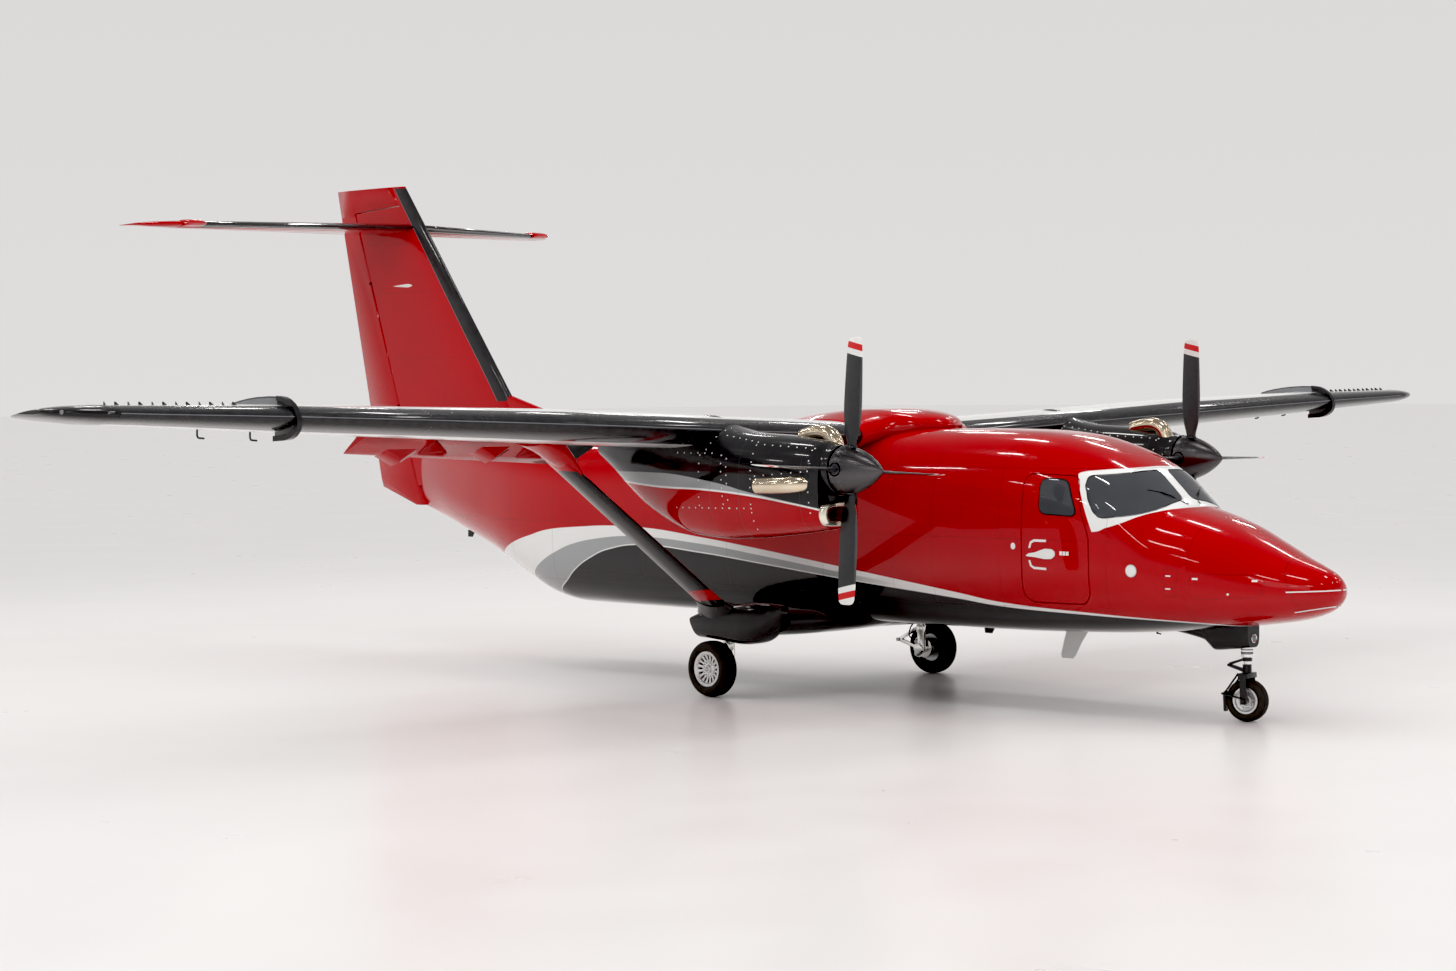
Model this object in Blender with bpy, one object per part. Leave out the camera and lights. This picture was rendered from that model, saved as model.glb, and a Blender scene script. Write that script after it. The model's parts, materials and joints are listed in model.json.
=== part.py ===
# Turboprop airliner with a strutted high wing, built in metres.
# +X is the nose, +Y the port side, +Z up; the tyres stand on z = 0.
import bpy
import bmesh
from math import radians, sin, cos, pi, copysign
from mathutils import Vector, Matrix

for old in list(bpy.data.objects):
    bpy.data.objects.remove(old, do_unlink=True)

# Named sizes
SHIFT_X = 0.063
SEAT = 0.0004
MOVE_GAP = 0.008
SHAFT_Y = 2.893
SHAFT_Z = 2.639
PROP_X = 4.266
SPIN_BASE_X = 4.185
SPIN_R = 0.258
COWL_FRONT_X = 4.165
COWL_R = 0.268
CHIN_X = 4.075
SHAFT_R = 0.050
WHEEL_Y = 1.874
WHEEL_X = 1.100
WHEEL_R = 0.318
WHEEL_W = 0.240
NOSE_X = 7.155
NOSE_R = 0.222
NOSE_W = 0.165
FLAP_DROOP = 32.0
NOSE_TURN = 12.0
OLEO_R = 0.034
DOOR_T = 0.030
DOOR_GAP = 0.012
PANE_T = 0.016
PIN_R = 0.007

part_coll = bpy.data.collections.new("turboprop_airliner")
cut_coll = bpy.data.collections.new("cutters")
bpy.context.scene.collection.children.link(part_coll)
bpy.context.scene.collection.children.link(cut_coll)
mats = {}


def material(name, colour, metal=0.0, rough=0.4):
    m = bpy.data.materials.new(name)
    m.use_nodes = True
    b = m.node_tree.nodes["Principled BSDF"]
    b.inputs["Base Color"].default_value = (*colour, 1.0)
    b.inputs["Metallic"].default_value = metal
    b.inputs["Roughness"].default_value = rough
    m.diffuse_color = (*colour, 1.0)
    mats[name] = m
    return m


material("red_paint", (0.55, 0.01, 0.015), 0.0, 0.25)
material("black_paint", (0.02, 0.02, 0.022), 0.0, 0.3)
material("white_paint", (0.8, 0.8, 0.8), 0.0, 0.3)
material("steel", (0.5, 0.5, 0.5), 1.0, 0.35)
material("bright_steel", (0.75, 0.7, 0.62), 1.0, 0.2)
material("dark_alloy", (0.12, 0.12, 0.13), 0.6, 0.4)
material("rubber", (0.02, 0.02, 0.02), 0.0, 0.8)
material("glass", (0.03, 0.04, 0.05), 0.0, 0.05)


def link(ob, cutter=False):
    coll = cut_coll if cutter else part_coll
    coll.objects.link(ob)
    if cutter:
        ob.hide_render = True
        ob.display_type = "WIRE"
    return ob


def from_faces(name, verts, faces, mat, cutter=False):
    bm = bmesh.new()
    vs = [bm.verts.new(v) for v in verts]
    for f in faces:
        bm.faces.new([vs[i] for i in f])
    bmesh.ops.remove_doubles(bm, verts=bm.verts, dist=0.00005)
    bmesh.ops.recalc_face_normals(bm, faces=bm.faces)
    bmesh.ops.triangulate(bm, faces=bm.faces, quad_method="FIXED", ngon_method="EAR_CLIP")
    me = bpy.data.meshes.new(name)
    bm.to_mesh(me)
    bm.free()
    ob = bpy.data.objects.new(name, me)
    me.materials.append(mats[mat])
    return link(ob, cutter)


def loft(name, rings, mat, cutter=False):
    n = len(rings[0])
    verts = [p for ring in rings for p in ring]
    faces = []
    for i in range(len(rings) - 1):
        a = i * n
        b = a + n
        for j in range(n):
            k = (j + 1) % n
            faces.append((a + j, a + k, b + k, b + j))
    faces.append(tuple(range(n)))
    faces.append(tuple((len(rings) - 1) * n + j for j in range(n)))
    return from_faces(name, verts, faces, mat, cutter)


def prism(name, outline, plane, lo, hi, mat, cutter=False):
    # outline in two axes, pushed along the third from lo to hi
    def at(p, h):
        if plane == "xz":
            return (p[0], h, p[1])
        if plane == "xy":
            return (p[0], p[1], h)
        return (h, p[0], p[1])
    return loft(name, [[at(p, lo) for p in outline], [at(p, hi) for p in outline]], mat, cutter)


def box(name, lo, hi, mat="steel", cutter=False):
    out = [(lo[0], lo[2]), (hi[0], lo[2]), (hi[0], hi[2]), (lo[0], hi[2])]
    return prism(name, out, "xz", lo[1], hi[1], mat, cutter)


def turned(name, profile, axis_dir, centre, mat, seg=32, cutter=False):
    # profile rows: distance along the axis, radius
    d = Vector(axis_dir).normalized()
    up = Vector((0, 0, 1)) if abs(d.z) < 0.9 else Vector((1, 0, 0))
    u = d.cross(up).normalized()
    v = d.cross(u).normalized()
    c = Vector(centre)
    rings = []
    for along, rad in profile:
        ring = []
        for j in range(seg):
            t = 2 * pi * j / seg
            ring.append(c + d * along + (u * cos(t) + v * sin(t)) * rad)
        rings.append(ring)
    return loft(name, rings, mat, cutter)


def rod(name, p, q, rad, mat, seg=12, cutter=False):
    p = Vector(p)
    q = Vector(q)
    return turned(name, [(0.0, rad), ((q - p).length, rad)], q - p, p, mat, seg, cutter)


def boolean(ob, tool, how):
    mod = ob.modifiers.new("bool", "BOOLEAN")
    mod.operation = how
    mod.solver = "EXACT"
    mod.object = tool
    dg = bpy.context.evaluated_depsgraph_get()
    me = bpy.data.meshes.new_from_object(ob.evaluated_get(dg))
    ob.modifiers.remove(mod)
    ob.data = me
    bm = bmesh.new()
    bm.from_mesh(me)
    bmesh.ops.remove_doubles(bm, verts=bm.verts, dist=0.00005)
    bmesh.ops.dissolve_degenerate(bm, edges=bm.edges, dist=0.00005)
    bm.to_mesh(me)
    bm.free()
    return ob


def join(name, pieces):
    first = pieces[0]
    for other in pieces[1:]:
        boolean(first, other, "UNION")
        bpy.data.objects.remove(other, do_unlink=True)
    first.name = name
    return first


def cut(ob, tool, keep_tool=False):
    boolean(ob, tool, "DIFFERENCE")
    if not keep_tool:
        bpy.data.objects.remove(tool, do_unlink=True)
    return ob


def grown(ob, dist, name):
    me = ob.data.copy()
    bm = bmesh.new()
    bm.from_mesh(me)
    bm.normal_update()
    moves = [(v, v.normal.copy()) for v in bm.verts]
    for v, nrm in moves:
        v.co += nrm * dist
    bm.to_mesh(me)
    bm.free()
    new = bpy.data.objects.new(name, me)
    new.matrix_world = ob.matrix_world.copy()
    return link(new, True)


def slanted_box(name, centre, frame, lo, hi, cutter=False):
    # box whose sides follow three given directions
    c = Vector(centre)
    f, a, s = frame

    def at(i, j, k):
        return c + f * (hi[0] if i else lo[0]) + a * (hi[1] if j else lo[1]) + s * (hi[2] if k else lo[2])
    rings = []
    for j in (0, 1):
        rings.append([at(0, j, 0), at(1, j, 0), at(1, j, 1), at(0, j, 1)])
    return loft(name, rings, "steel", cutter)


def hinge_lug(fixed, moving, point, axis, ahead, reach, nose, half):
    # a lug on the fixed piece, reaching a pin across a notch in the moving piece's nose
    a = Vector(axis).normalized()
    f = Vector(ahead)
    f = (f - a * f.dot(a)).normalized()
    s = a.cross(f)
    p = Vector(point)
    cut(moving, slanted_box("notch", p, (f, a, s), (-0.026, -0.017, -half), (nose + 0.03, 0.017, half), True))
    pin = rod("pin", p - a * 0.030, p + a * 0.030, PIN_R, "steel", 10)
    boolean(moving, pin, "UNION")
    bpy.data.objects.remove(pin, do_unlink=True)
    lug = slanted_box("lug", p, (f, a, s), (-0.014, -0.0095, -0.012), (reach, 0.0095, 0.012))
    cut(lug, rod("bore", p - a * 0.05, p + a * 0.05, PIN_R + SEAT, "steel", 10, True))
    boolean(fixed, lug, "UNION")
    bpy.data.objects.remove(lug, do_unlink=True)


def mirrored(ob, name):
    me = ob.data.copy()
    bm = bmesh.new()
    bm.from_mesh(me)
    for v in bm.verts:
        v.co.y = -v.co.y
    bmesh.ops.reverse_faces(bm, faces=bm.faces)
    bm.to_mesh(me)
    bm.free()
    new = bpy.data.objects.new(name, me)
    return link(new)


def power(v, n):
    return copysign(abs(v) ** (2.0 / n), v)


def body_ring(row, seg=32, y0=0.0):
    x, z_low, z_top, half, z_wide, n_up, n_low = row
    ring = []
    for j in range(seg):
        t = 2 * pi * j / seg
        n = n_up if sin(t) >= 0 else n_low
        h = (z_top - z_wide) if sin(t) >= 0 else (z_wide - z_low)
        ring.append((x, y0 + half * power(cos(t), n), z_wide + h * power(sin(t), n)))
    return ring


# Fuselage sections: x, lowest z, highest z, half width, z of widest, upper power, lower power
BODY = [
    (8.330, 1.360, 1.420, 0.030, 1.390, 2.0, 2.0),
    (8.305, 1.285, 1.495, 0.120, 1.390, 2.0, 2.0),
    (8.220, 1.205, 1.575, 0.235, 1.385, 2.0, 2.0),
    (8.050, 1.130, 1.650, 0.360, 1.380, 2.1, 2.1),
    (7.800, 1.070, 1.745, 0.490, 1.385, 2.2, 2.2),
    (7.456, 1.020, 1.900, 0.620, 1.400, 2.3, 2.4),
    (7.100, 0.975, 2.055, 0.720, 1.430, 2.4, 2.5),
    (6.750, 0.940, 2.165, 0.795, 1.480, 2.5, 2.7),
    (6.500, 0.915, 2.235, 0.840, 1.540, 2.5, 2.8),
    (6.300, 0.898, 2.405, 0.868, 1.620, 2.5, 2.9),
    (6.050, 0.880, 2.620, 0.895, 1.700, 2.6, 3.0),
    (5.750, 0.862, 2.770, 0.918, 1.740, 2.8, 3.1),
    (5.400, 0.848, 2.885, 0.938, 1.760, 3.0, 3.2),
    (5.000, 0.836, 2.975, 0.955, 1.770, 3.1, 3.3),
    (4.500, 0.826, 3.018, 0.966, 1.770, 3.2, 3.4),
    (3.800, 0.820, 3.032, 0.970, 1.770, 3.2, 3.4),
    (0.000, 0.820, 3.032, 0.970, 1.770, 3.2, 3.4),
    (-2.600, 0.830, 3.032, 0.965, 1.770, 3.2, 3.4),
    (-3.000, 0.880, 3.032, 0.945, 1.800, 3.2, 3.3),
    (-3.500, 1.040, 3.030, 0.895, 1.880, 3.0, 3.0),
    (-4.480, 1.400, 3.020, 0.700, 2.100, 2.7, 2.7),
    (-5.400, 1.660, 3.010, 0.450, 2.250, 2.4, 2.4),
    (-6.100, 1.860, 3.000, 0.220, 2.400, 2.2, 2.2),
    (-6.420, 1.950, 2.980, 0.105, 2.450, 2.1, 2.1),
]

# Wing stations: y, leading edge x, leading edge z, chord, thickness share
WING = [
    (0.900, 2.560, 2.950, 2.100, 0.172),
    (5.200, 2.560, 3.137, 2.100, 0.170),
    (8.530, 2.360, 3.258, 1.640, 0.164),
    (10.530, 2.215, 3.318, 1.280, 0.140),
    (10.800, 2.110, 3.328, 1.060, 0.130),
    (10.960, 1.960, 3.336, 0.720, 0.110),
    (11.010, 1.840, 3.342, 0.420, 0.090),
]
TWIST = 0.042
CHORD_CUTS = (1.0, 0.88, 0.72, 0.52, 0.34, 0.18, 0.08, 0.025)


def half_thick(t, c):
    return 5 * t * (0.2969 * c ** 0.5 - 0.126 * c - 0.3516 * c * c + 0.2843 * c ** 3 - 0.1036 * c ** 4) + 0.0008


def airfoil(xle, zle, chord, t, twist=TWIST, camber=0.010):
    pts = []
    for c in CHORD_CUTS:
        z = half_thick(t, c) + camber * 4 * c * (1 - c)
        pts.append((xle - chord * c, zle + chord * (z - twist * c)))
    pts.append((xle, zle))
    for c in reversed(CHORD_CUTS):
        z = -half_thick(t, c) + camber * 4 * c * (1 - c)
        pts.append((xle - chord * c, zle + chord * (z - twist * c)))
    return pts


def station(table, y):
    for a, b in zip(table, table[1:]):
        if a[0] <= y <= b[0]:
            f = (y - a[0]) / (b[0] - a[0])
            return tuple(p + (q - p) * f for p, q in zip(a, b))
    return table[-1]


def wing_surface(y, x):
    # upper and lower skin heights of the wing at a station
    _, xle, zle, chord, t = station(WING, y)
    c = (xle - x) / chord
    mid = 0.010 * 4 * c * (1 - c) - TWIST * c
    h = half_thick(t, c)
    return zle + chord * (mid + h), zle + chord * (mid - h)


# Fuselage, with the red fairing over the wing's middle: y, leading edge x and z, chord, thickness share
body = loft("fuselage", [body_ring(r) for r in BODY], "red_paint")
HUMP = [
    (-0.895, 2.575, 2.950, 2.150, 0.184),
    (-0.600, 2.700, 3.020, 2.500, 0.166),
    (-0.350, 2.950, 3.055, 3.000, 0.137),
    (0.000, 3.080, 3.060, 3.250, 0.128),
    (0.350, 2.950, 3.055, 3.000, 0.137),
    (0.600, 2.700, 3.020, 2.500, 0.166),
    (0.895, 2.575, 2.950, 2.150, 0.184),
]
hump_rings = []
for y, xle, zle, chord, t in HUMP:
    hump_rings.append([(x, y, z) for x, z in airfoil(xle, zle, chord, t)])
hump = loft("hump", hump_rings, "red_paint")
outer = grown(body, 0.0, "outer_form")
inner_door = grown(body, -DOOR_T, "inner_door")
floor_door = grown(body, -(DOOR_T + SEAT), "floor_door")
inner_pane = grown(body, -PANE_T, "inner_pane")
floor_pane = grown(body, -(PANE_T + SEAT), "floor_pane")
body = join("fuselage", [body, hump])


def grow_outline(pts, d):
    # outline moved outward by d
    cx = sum(p[0] for p in pts) / len(pts)
    cy = sum(p[1] for p in pts) / len(pts)
    area = sum(a[0] * b[1] - b[0] * a[1] for a, b in zip(pts, pts[1:] + pts[:1]))
    s = 1.0 if area > 0 else -1.0
    out = []
    n = len(pts)
    for i in range(n):
        a = Vector(pts[i - 1])
        b = Vector(pts[i])
        c = Vector(pts[(i + 1) % n])
        n1 = Vector(((b - a).y, -(b - a).x)).normalized() * s
        n2 = Vector(((c - b).y, -(c - b).x)).normalized() * s
        m = (n1 + n2)
        m = m / max(m.length_squared / 2.0, 0.2)
        out.append(tuple(b + m * d))
    return out


def panel(name, outline, side, mat, gap, inner, floor):
    # a skin panel let into the fuselage, outline in x and z on one side
    lo, hi = (0.3, 1.3) if side > 0 else (-1.3, -0.3)
    piece = prism(name, outline, "xz", lo, hi, mat)
    boolean(piece, outer, "INTERSECT")
    cut(piece, inner, True)
    hole = prism(name + "_hole", grow_outline(outline, gap), "xz", lo, hi, mat, True)
    cut(hole, floor, True)
    cut(body, hole)
    return piece


# Crew doors, one each side, hinged at the front; cargo door on the port side, hinged above
CREW_DOOR = [(4.930, 1.290), (5.020, 1.200), (5.710, 1.200), (5.795, 1.300), (5.800, 1.900),
             (5.690, 2.150), (5.590, 2.540), (5.000, 2.560), (4.930, 2.500)]
CARGO_DOOR = [(-2.500, 1.030), (-2.420, 0.950), (-0.430, 0.950), (-0.350, 1.030),
              (-0.350, 2.520), (-0.430, 2.600), (-2.420, 2.600), (-2.500, 2.520)]
crew_s = panel("crew_door_stbd", CREW_DOOR, -1, "red_paint", DOOR_GAP, inner_door, floor_door)
crew_p = panel("crew_door_port", CREW_DOOR, 1, "red_paint", DOOR_GAP, inner_door, floor_door)
cargo = panel("cargo_door_port", CARGO_DOOR, 1, "red_paint", DOOR_GAP, inner_door, floor_door)

# Windshield panes, outlines seen from ahead in y and z
PANE = [(0.040, 2.255), (0.860, 2.085), (0.835, 2.250), (0.745, 2.485), (0.640, 2.520), (0.040, 2.560)]


def windshield(name, side):
    outline = [(side * y, z) for y, z in PANE]
    piece = prism(name, outline, "yz", 5.50, 6.60, "glass")
    boolean(piece, outer, "INTERSECT")
    cut(piece, inner_pane, True)
    hole = prism(name + "_hole", grow_outline(outline, SEAT), "yz", 5.50, 6.60, "glass", True)
    cut(hole, floor_pane, True)
    cut(body, hole)
    return piece


pane_s = windshield("windshield_stbd", -1)
pane_p = windshield("windshield_port", 1)
for tool in (inner_door, floor_door, inner_pane, floor_pane):
    bpy.data.objects.remove(tool, do_unlink=True)

# Wing half, starboard first, with bays for flaps and aileron
FLAP_HX = 0.980
FLAP_DROP = 0.300
FLAP_NOSE = 1.080
FLAP_SPANS = [("inner", 1.020, 2.400), ("outer", 3.420, 6.600)]
AIL_SPAN = (6.720, 10.380)
AIL_HX = (1.065, 1.250)


def wing_rings(side, table):
    rings = []
    for y, xle, zle, chord, t in table:
        rings.append([(x, side * y, z) for x, z in airfoil(xle, zle, chord, t)])
    return rings


def flap_section(y):
    # flap drawn shut, nose to trailing edge
    _, xle, zle, chord, t = station(WING, y)
    xte = xle - chord
    zte = zle - TWIST * chord
    pts = []
    for x in (0.62, 0.78, 0.90, 1.00):
        up, low = wing_surface(y, x)
        drop = {0.62: 0.004, 0.78: 0.030, 0.90: 0.045, 1.00: 0.075}[x]
        pts.append((x, up - drop))
    up, low = wing_surface(y, 1.06)
    pts.append((1.060, (up + low) / 2 - 0.010))
    up, low = wing_surface(y, 1.02)
    pts.append((1.030, low + 0.022))
    for x in (0.96, 0.78, 0.62):
        up, low = wing_surface(y, x)
        pts.append((x, low + 0.001))
    pts.append((xte, zte - 0.002))
    pts.append((xte, zte + 0.004))
    return pts


def hinge_z(y):
    # flap hinge height below the lower skin
    return station(WING, y)[2] - FLAP_DROP


def flap_bay(y):
    # the room the flap needs while it turns, opened behind
    up, low = wing_surface(y, 0.88)
    up2, low2 = wing_surface(y, 1.10)
    pts = [(0.760, up + 0.30), (0.760, wing_surface(y, 0.76)[0] - 0.010)]
    pts.append((0.900, wing_surface(y, 0.90)[0] - 0.022))
    pts.append((1.010, wing_surface(y, 1.01)[0] - 0.035))
    pts.append((1.090, (up2 + low2) / 2 + 0.010))
    pts.append((1.085, low2 - 0.30))
    pts.append((0.20, low2 - 0.30))
    pts.append((0.20, up + 0.30))
    return pts


def aileron_hinge(y):
    # straight hinge line, and the nose radius that stays under the skin
    (y0, y1) = AIL_SPAN
    ends = []
    for ye, xe in ((y0, AIL_HX[0]), (y1, AIL_HX[1])):
        up, low = wing_surface(ye, xe)
        ends.append((xe, (up + low) / 2))
    f = (y - y0) / (y1 - y0)
    x = ends[0][0] + (ends[1][0] - ends[0][0]) * f
    z = ends[0][1] + (ends[1][1] - ends[0][1]) * f
    up, low = wing_surface(y, x)
    return x, z, min(up - z, z - low) - 0.003


def aileron_section(y):
    x, z, r = aileron_hinge(y)
    _, xle, zle, chord, t = station(WING, y)
    pts = []
    for a in (90, 60, 30, 0, -30, -60, -90):
        pts.append((x + r * cos(radians(a)), z + r * sin(radians(a))))
    pts.append((xle - chord, zle - TWIST * chord - 0.002))
    pts.append((xle - chord, zle - TWIST * chord + 0.003))
    return pts


def aileron_bay(y):
    x, z, r = aileron_hinge(y)
    q = r + MOVE_GAP
    pts = [(x + 0.45 * q, z + 0.4)]
    for a in (63, 35, 0, -35, -63):
        pts.append((x + q * cos(radians(a)) * 1.03, z + q * sin(radians(a))))
    pts.append((x + 0.45 * q, z - 0.4))
    pts.append((x - 1.2, z - 0.4))
    pts.append((x - 1.2, z + 0.4))
    return pts


wing = loft("wing_stbd", wing_rings(-1, WING), "white_paint")
solid_wing = grown(wing, 0.0, "solid_wing")
for label, y0, y1 in FLAP_SPANS:
    rings = []
    for y in (y0 - MOVE_GAP, y1 + MOVE_GAP):
        rings.append([(x, -y, z) for x, z in flap_bay(y)])
    cut(wing, loft("bay", rings, "steel", True))
rings = []
for y in (AIL_SPAN[0] - MOVE_GAP, 8.53, AIL_SPAN[1] + MOVE_GAP):
    rings.append([(x, -y, z) for x, z in aileron_bay(y)])
cut(wing, loft("bay", rings, "steel", True))

# Fixed hinge arms below the wing and the flap's own arms beside them
ARM_Y = {"inner": (1.300, 2.120), "outer": (4.250, 5.600)}
FLAP_PIN_R = 0.011


def flap_line(y0, y1, y):
    # point on the flap's straight hinge line, starboard side
    f = (y - y0) / (y1 - y0)
    return Vector((FLAP_HX, -y, hinge_z(y0) + (hinge_z(y1) - hinge_z(y0)) * f))


ARM_T = 0.034
flaps = []
for label, y0, y1 in FLAP_SPANS:
    flap = loft("flap_" + label + "_stbd", [[(x, -y, z) for x, z in flap_section(y)] for y in (y0, y1)], "red_paint")
    arms = []
    for ya in ARM_Y[label]:
        hz = flap_line(y0, y1, ya).z
        along = (flap_line(y0, y1, y1) - flap_line(y0, y1, y0)).normalized()
        up, low = wing_surface(ya, 1.25)
        fixed = [(1.480, low + 0.05), (1.130, low + 0.05), (1.110, low - 0.02), (FLAP_HX - 0.035, hz + 0.012),
                 (FLAP_HX - 0.030, hz - 0.025), (FLAP_HX + 0.030, hz - 0.030), (1.300, low - 0.035)]
        arm = prism("arm", fixed, "xz", -ya - ARM_T / 2, -ya + ARM_T / 2, "steel")
        pin_at = flap_line(y0, y1, ya)
        pin = rod("pin", pin_at, pin_at + along * (1.5 * ARM_T + 0.014 + 0.006), FLAP_PIN_R, "steel", 12)
        boolean(arm, pin, "UNION")
        bpy.data.objects.remove(pin, do_unlink=True)
        boolean(wing, arm, "UNION")
        bpy.data.objects.remove(arm, do_unlink=True)
        up, low = wing_surface(ya, 0.78)
        own = [(0.930, wing_surface(ya, 0.93)[1] + 0.03), (0.600, wing_surface(ya, 0.60)[1] + 0.02),
               (0.640, wing_surface(ya, 0.64)[1] - 0.02), (FLAP_HX - 0.030, hz - 0.025),
               (FLAP_HX + 0.028, hz - 0.020), (FLAP_HX + 0.028, hz + 0.022)]
        yb = -ya - ARM_T - 0.014
        arm = prism("arm", own, "xz", yb - ARM_T / 2, yb + ARM_T / 2, "steel")
        cut(arm, rod("bore", pin_at - along * 0.02, pin_at + along * 0.12, FLAP_PIN_R + SEAT, "steel", 12, True))
        boolean(flap, arm, "UNION")
        bpy.data.objects.remove(arm, do_unlink=True)
    flaps.append((flap, label, y0, y1))
aileron = loft("aileron_stbd", [[(x, -y, z) for x, z in aileron_section(y)] for y in (AIL_SPAN[0], 8.53, AIL_SPAN[1])], "white_paint")

for y in (7.500, 9.600):
    x0, z0, r0 = aileron_hinge(AIL_SPAN[0])
    x1, z1, r1 = aileron_hinge(AIL_SPAN[1])
    x, z, r = aileron_hinge(y)
    hinge_lug(wing, aileron, (x, -y, z), (x1 - x0, AIL_SPAN[0] - AIL_SPAN[1], z1 - z0), (1, 0, 0), r + 0.06, r, r + 0.03)

# Wing fence, a band round the leading edge with a sheet running aft above
FENCE_Y = 8.530
FENCE = [(1.205, 3.378), (1.420, 3.425), (1.700, 3.458), (2.080, 3.462), (2.220, 3.425), (2.330, 3.345),
         (2.388, 3.222), (2.370, 3.150), (2.300, 3.085), (2.180, 3.048), (1.998, 3.038), (1.998, 3.110),
         (1.998, 3.200), (1.300, 3.260)]
fence = prism("wing_fence_stbd", FENCE, "xz", -FENCE_Y - 0.012, -FENCE_Y + 0.012, "black_paint")
cut(fence, grown(solid_wing, SEAT, "wing_grown"))

# Nacelle: x, lowest z, highest z, half width, z of widest, upper power, lower power
NACELLE = [
    (4.075, 2.040, 2.908, 0.300, 2.520, 2.1, 4.0),
    (3.970, 2.012, 2.945, 0.332, 2.500, 2.3, 3.4),
    (3.500, 1.950, 2.998, 0.395, 2.490, 2.5, 3.0),
    (2.900, 1.895, 3.035, 0.425, 2.480, 2.7, 2.9),
    (2.600, 1.880, 3.085, 0.435, 2.480, 2.6, 2.9),
    (2.130, 1.905, 3.218, 0.430, 2.500, 2.2, 2.8),
    (1.900, 1.960, 3.180, 0.415, 2.520, 2.2, 2.6),
    (1.670, 2.040, 3.130, 0.390, 2.570, 2.4, 2.5),
    (1.350, 2.180, 3.060, 0.340, 2.640, 2.6, 2.4),
    (1.020, 2.370, 3.010, 0.265, 2.730, 2.6, 2.3),
    (0.700, 2.590, 2.960, 0.180, 2.800, 2.6, 2.2),
    (0.420, 2.750, 2.925, 0.085, 2.850, 2.4, 2.2),
]
nacelle = loft("nacelle_stbd", [body_ring(r, 24, -SHAFT_Y) for r in NACELLE], "black_paint")
nose_ring = turned("nose_ring", [(0.0, COWL_R + 0.004), (0.12, COWL_R + 0.002), (COWL_FRONT_X - 4.000, COWL_R)],
                   (1, 0, 0), (4.000, -SHAFT_Y, SHAFT_Z), "black_paint", 32)
boolean(nacelle, nose_ring, "UNION")
bpy.data.objects.remove(nose_ring, do_unlink=True)
cut(nacelle, grown(solid_wing, SEAT, "wing_grown"))
pocket = turned("pocket", [(0.0, 0.222), (1.60, 0.222)], (1, 0, 0), (2.62, -SHAFT_Y, SHAFT_Z), "steel", 28, True)
cut(nacelle, pocket)

# Chin inlet, outline in y and z about the shaft's plane, and its mouth as shares of that outline
INLET = [(0.268, 2.210), (0.235, 2.282), (0.150, 2.303), (0.000, 2.308), (-0.150, 2.303), (-0.235, 2.282),
         (-0.268, 2.210), (-0.262, 2.140), (-0.215, 2.078), (-0.130, 2.062), (0.000, 2.058), (0.130, 2.062),
         (0.215, 2.078), (0.262, 2.140)]
INLET_Z = 2.185
MOUTH = (0.68, 0.60)


def inlet_outline(wide, tall):
    return [(-SHAFT_Y + y * wide, INLET_Z + (z - INLET_Z) * tall) for y, z in INLET]


scoop = prism("scoop", inlet_outline(*MOUTH), "yz", 3.72, 4.20, "steel", True)
cut(nacelle, scoop)
lip_out = loft("inlet_lip_stbd", [
    [(x, y, z) for y, z in inlet_outline(k, k)]
    for x, k in ((CHIN_X + SEAT, 1.04), (CHIN_X + 0.020, 1.08), (CHIN_X + 0.043, 1.02), (CHIN_X + 0.050, 0.90))
], "bright_steel")
lip_hole = prism("lip_hole", inlet_outline(MOUTH[0] + 0.02, MOUTH[1] + 0.02), "yz", 4.00, 4.30, "steel", True)
cut(lip_out, lip_hole)

# Engine block inside the cowl, with the shaft to the propeller
ENGINE = [(0.0, 0.190), (0.06, 0.214), (1.10, 0.214), (1.30, 0.150), (1.50, 0.110), (1.51, SHAFT_R), (1.66, SHAFT_R)]
engine = turned("engine_stbd", ENGINE, (1, 0, 0), (2.6204, -SHAFT_Y, SHAFT_Z), "dark_alloy", 32)


def exhaust(name, base, knee, tip, r0, flat, mat="bright_steel"):
    # stub from the cowl, bending aft; rings are flattened ovals
    pts = [Vector(base), Vector(knee), Vector(tip)]
    dirs = [(pts[1] - pts[0]).normalized(), (pts[2] - pts[0]).normalized(), (pts[2] - pts[1]).normalized()]
    rings = []
    for p, d, k in zip(pts, dirs, (1.0, 1.08, 1.0)):
        u = d.cross(Vector((0, 0, 1))).normalized()
        v = d.cross(u).normalized()
        rings.append([p + u * r0 * k * cos(2 * pi * j / 16) + v * r0 * flat * k * sin(2 * pi * j / 16) for j in range(16)])
    ob = loft(name, rings, mat)
    d = dirs[2]
    u = d.cross(Vector((0, 0, 1))).normalized()
    v = d.cross(u).normalized()
    hole = []
    for along in (-0.16, 0.05):
        c = pts[2] + d * along
        hole.append([c + u * (r0 - 0.010) * cos(2 * pi * j / 16) + v * (r0 * flat - 0.010) * sin(2 * pi * j / 16) for j in range(16)])
    cut(ob, loft(name + "_bore", hole, "steel", True))
    return ob


exh_out = exhaust("exhaust_outer_stbd", (3.900, -3.100, 2.500), (3.800, -3.330, 2.490), (3.400, -3.400, 2.480), 0.082, 1.0)
exh_in = exhaust("exhaust_inner_stbd", (4.000, -2.800, 2.860), (3.890, -2.800, 3.018), (3.500, -2.800, 2.985), 0.082, 1.0)
nac_grown = grown(nacelle, 0.0010, "nacelle_grown")
cut(exh_out, nac_grown, True)
cut(exh_in, nac_grown)


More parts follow.
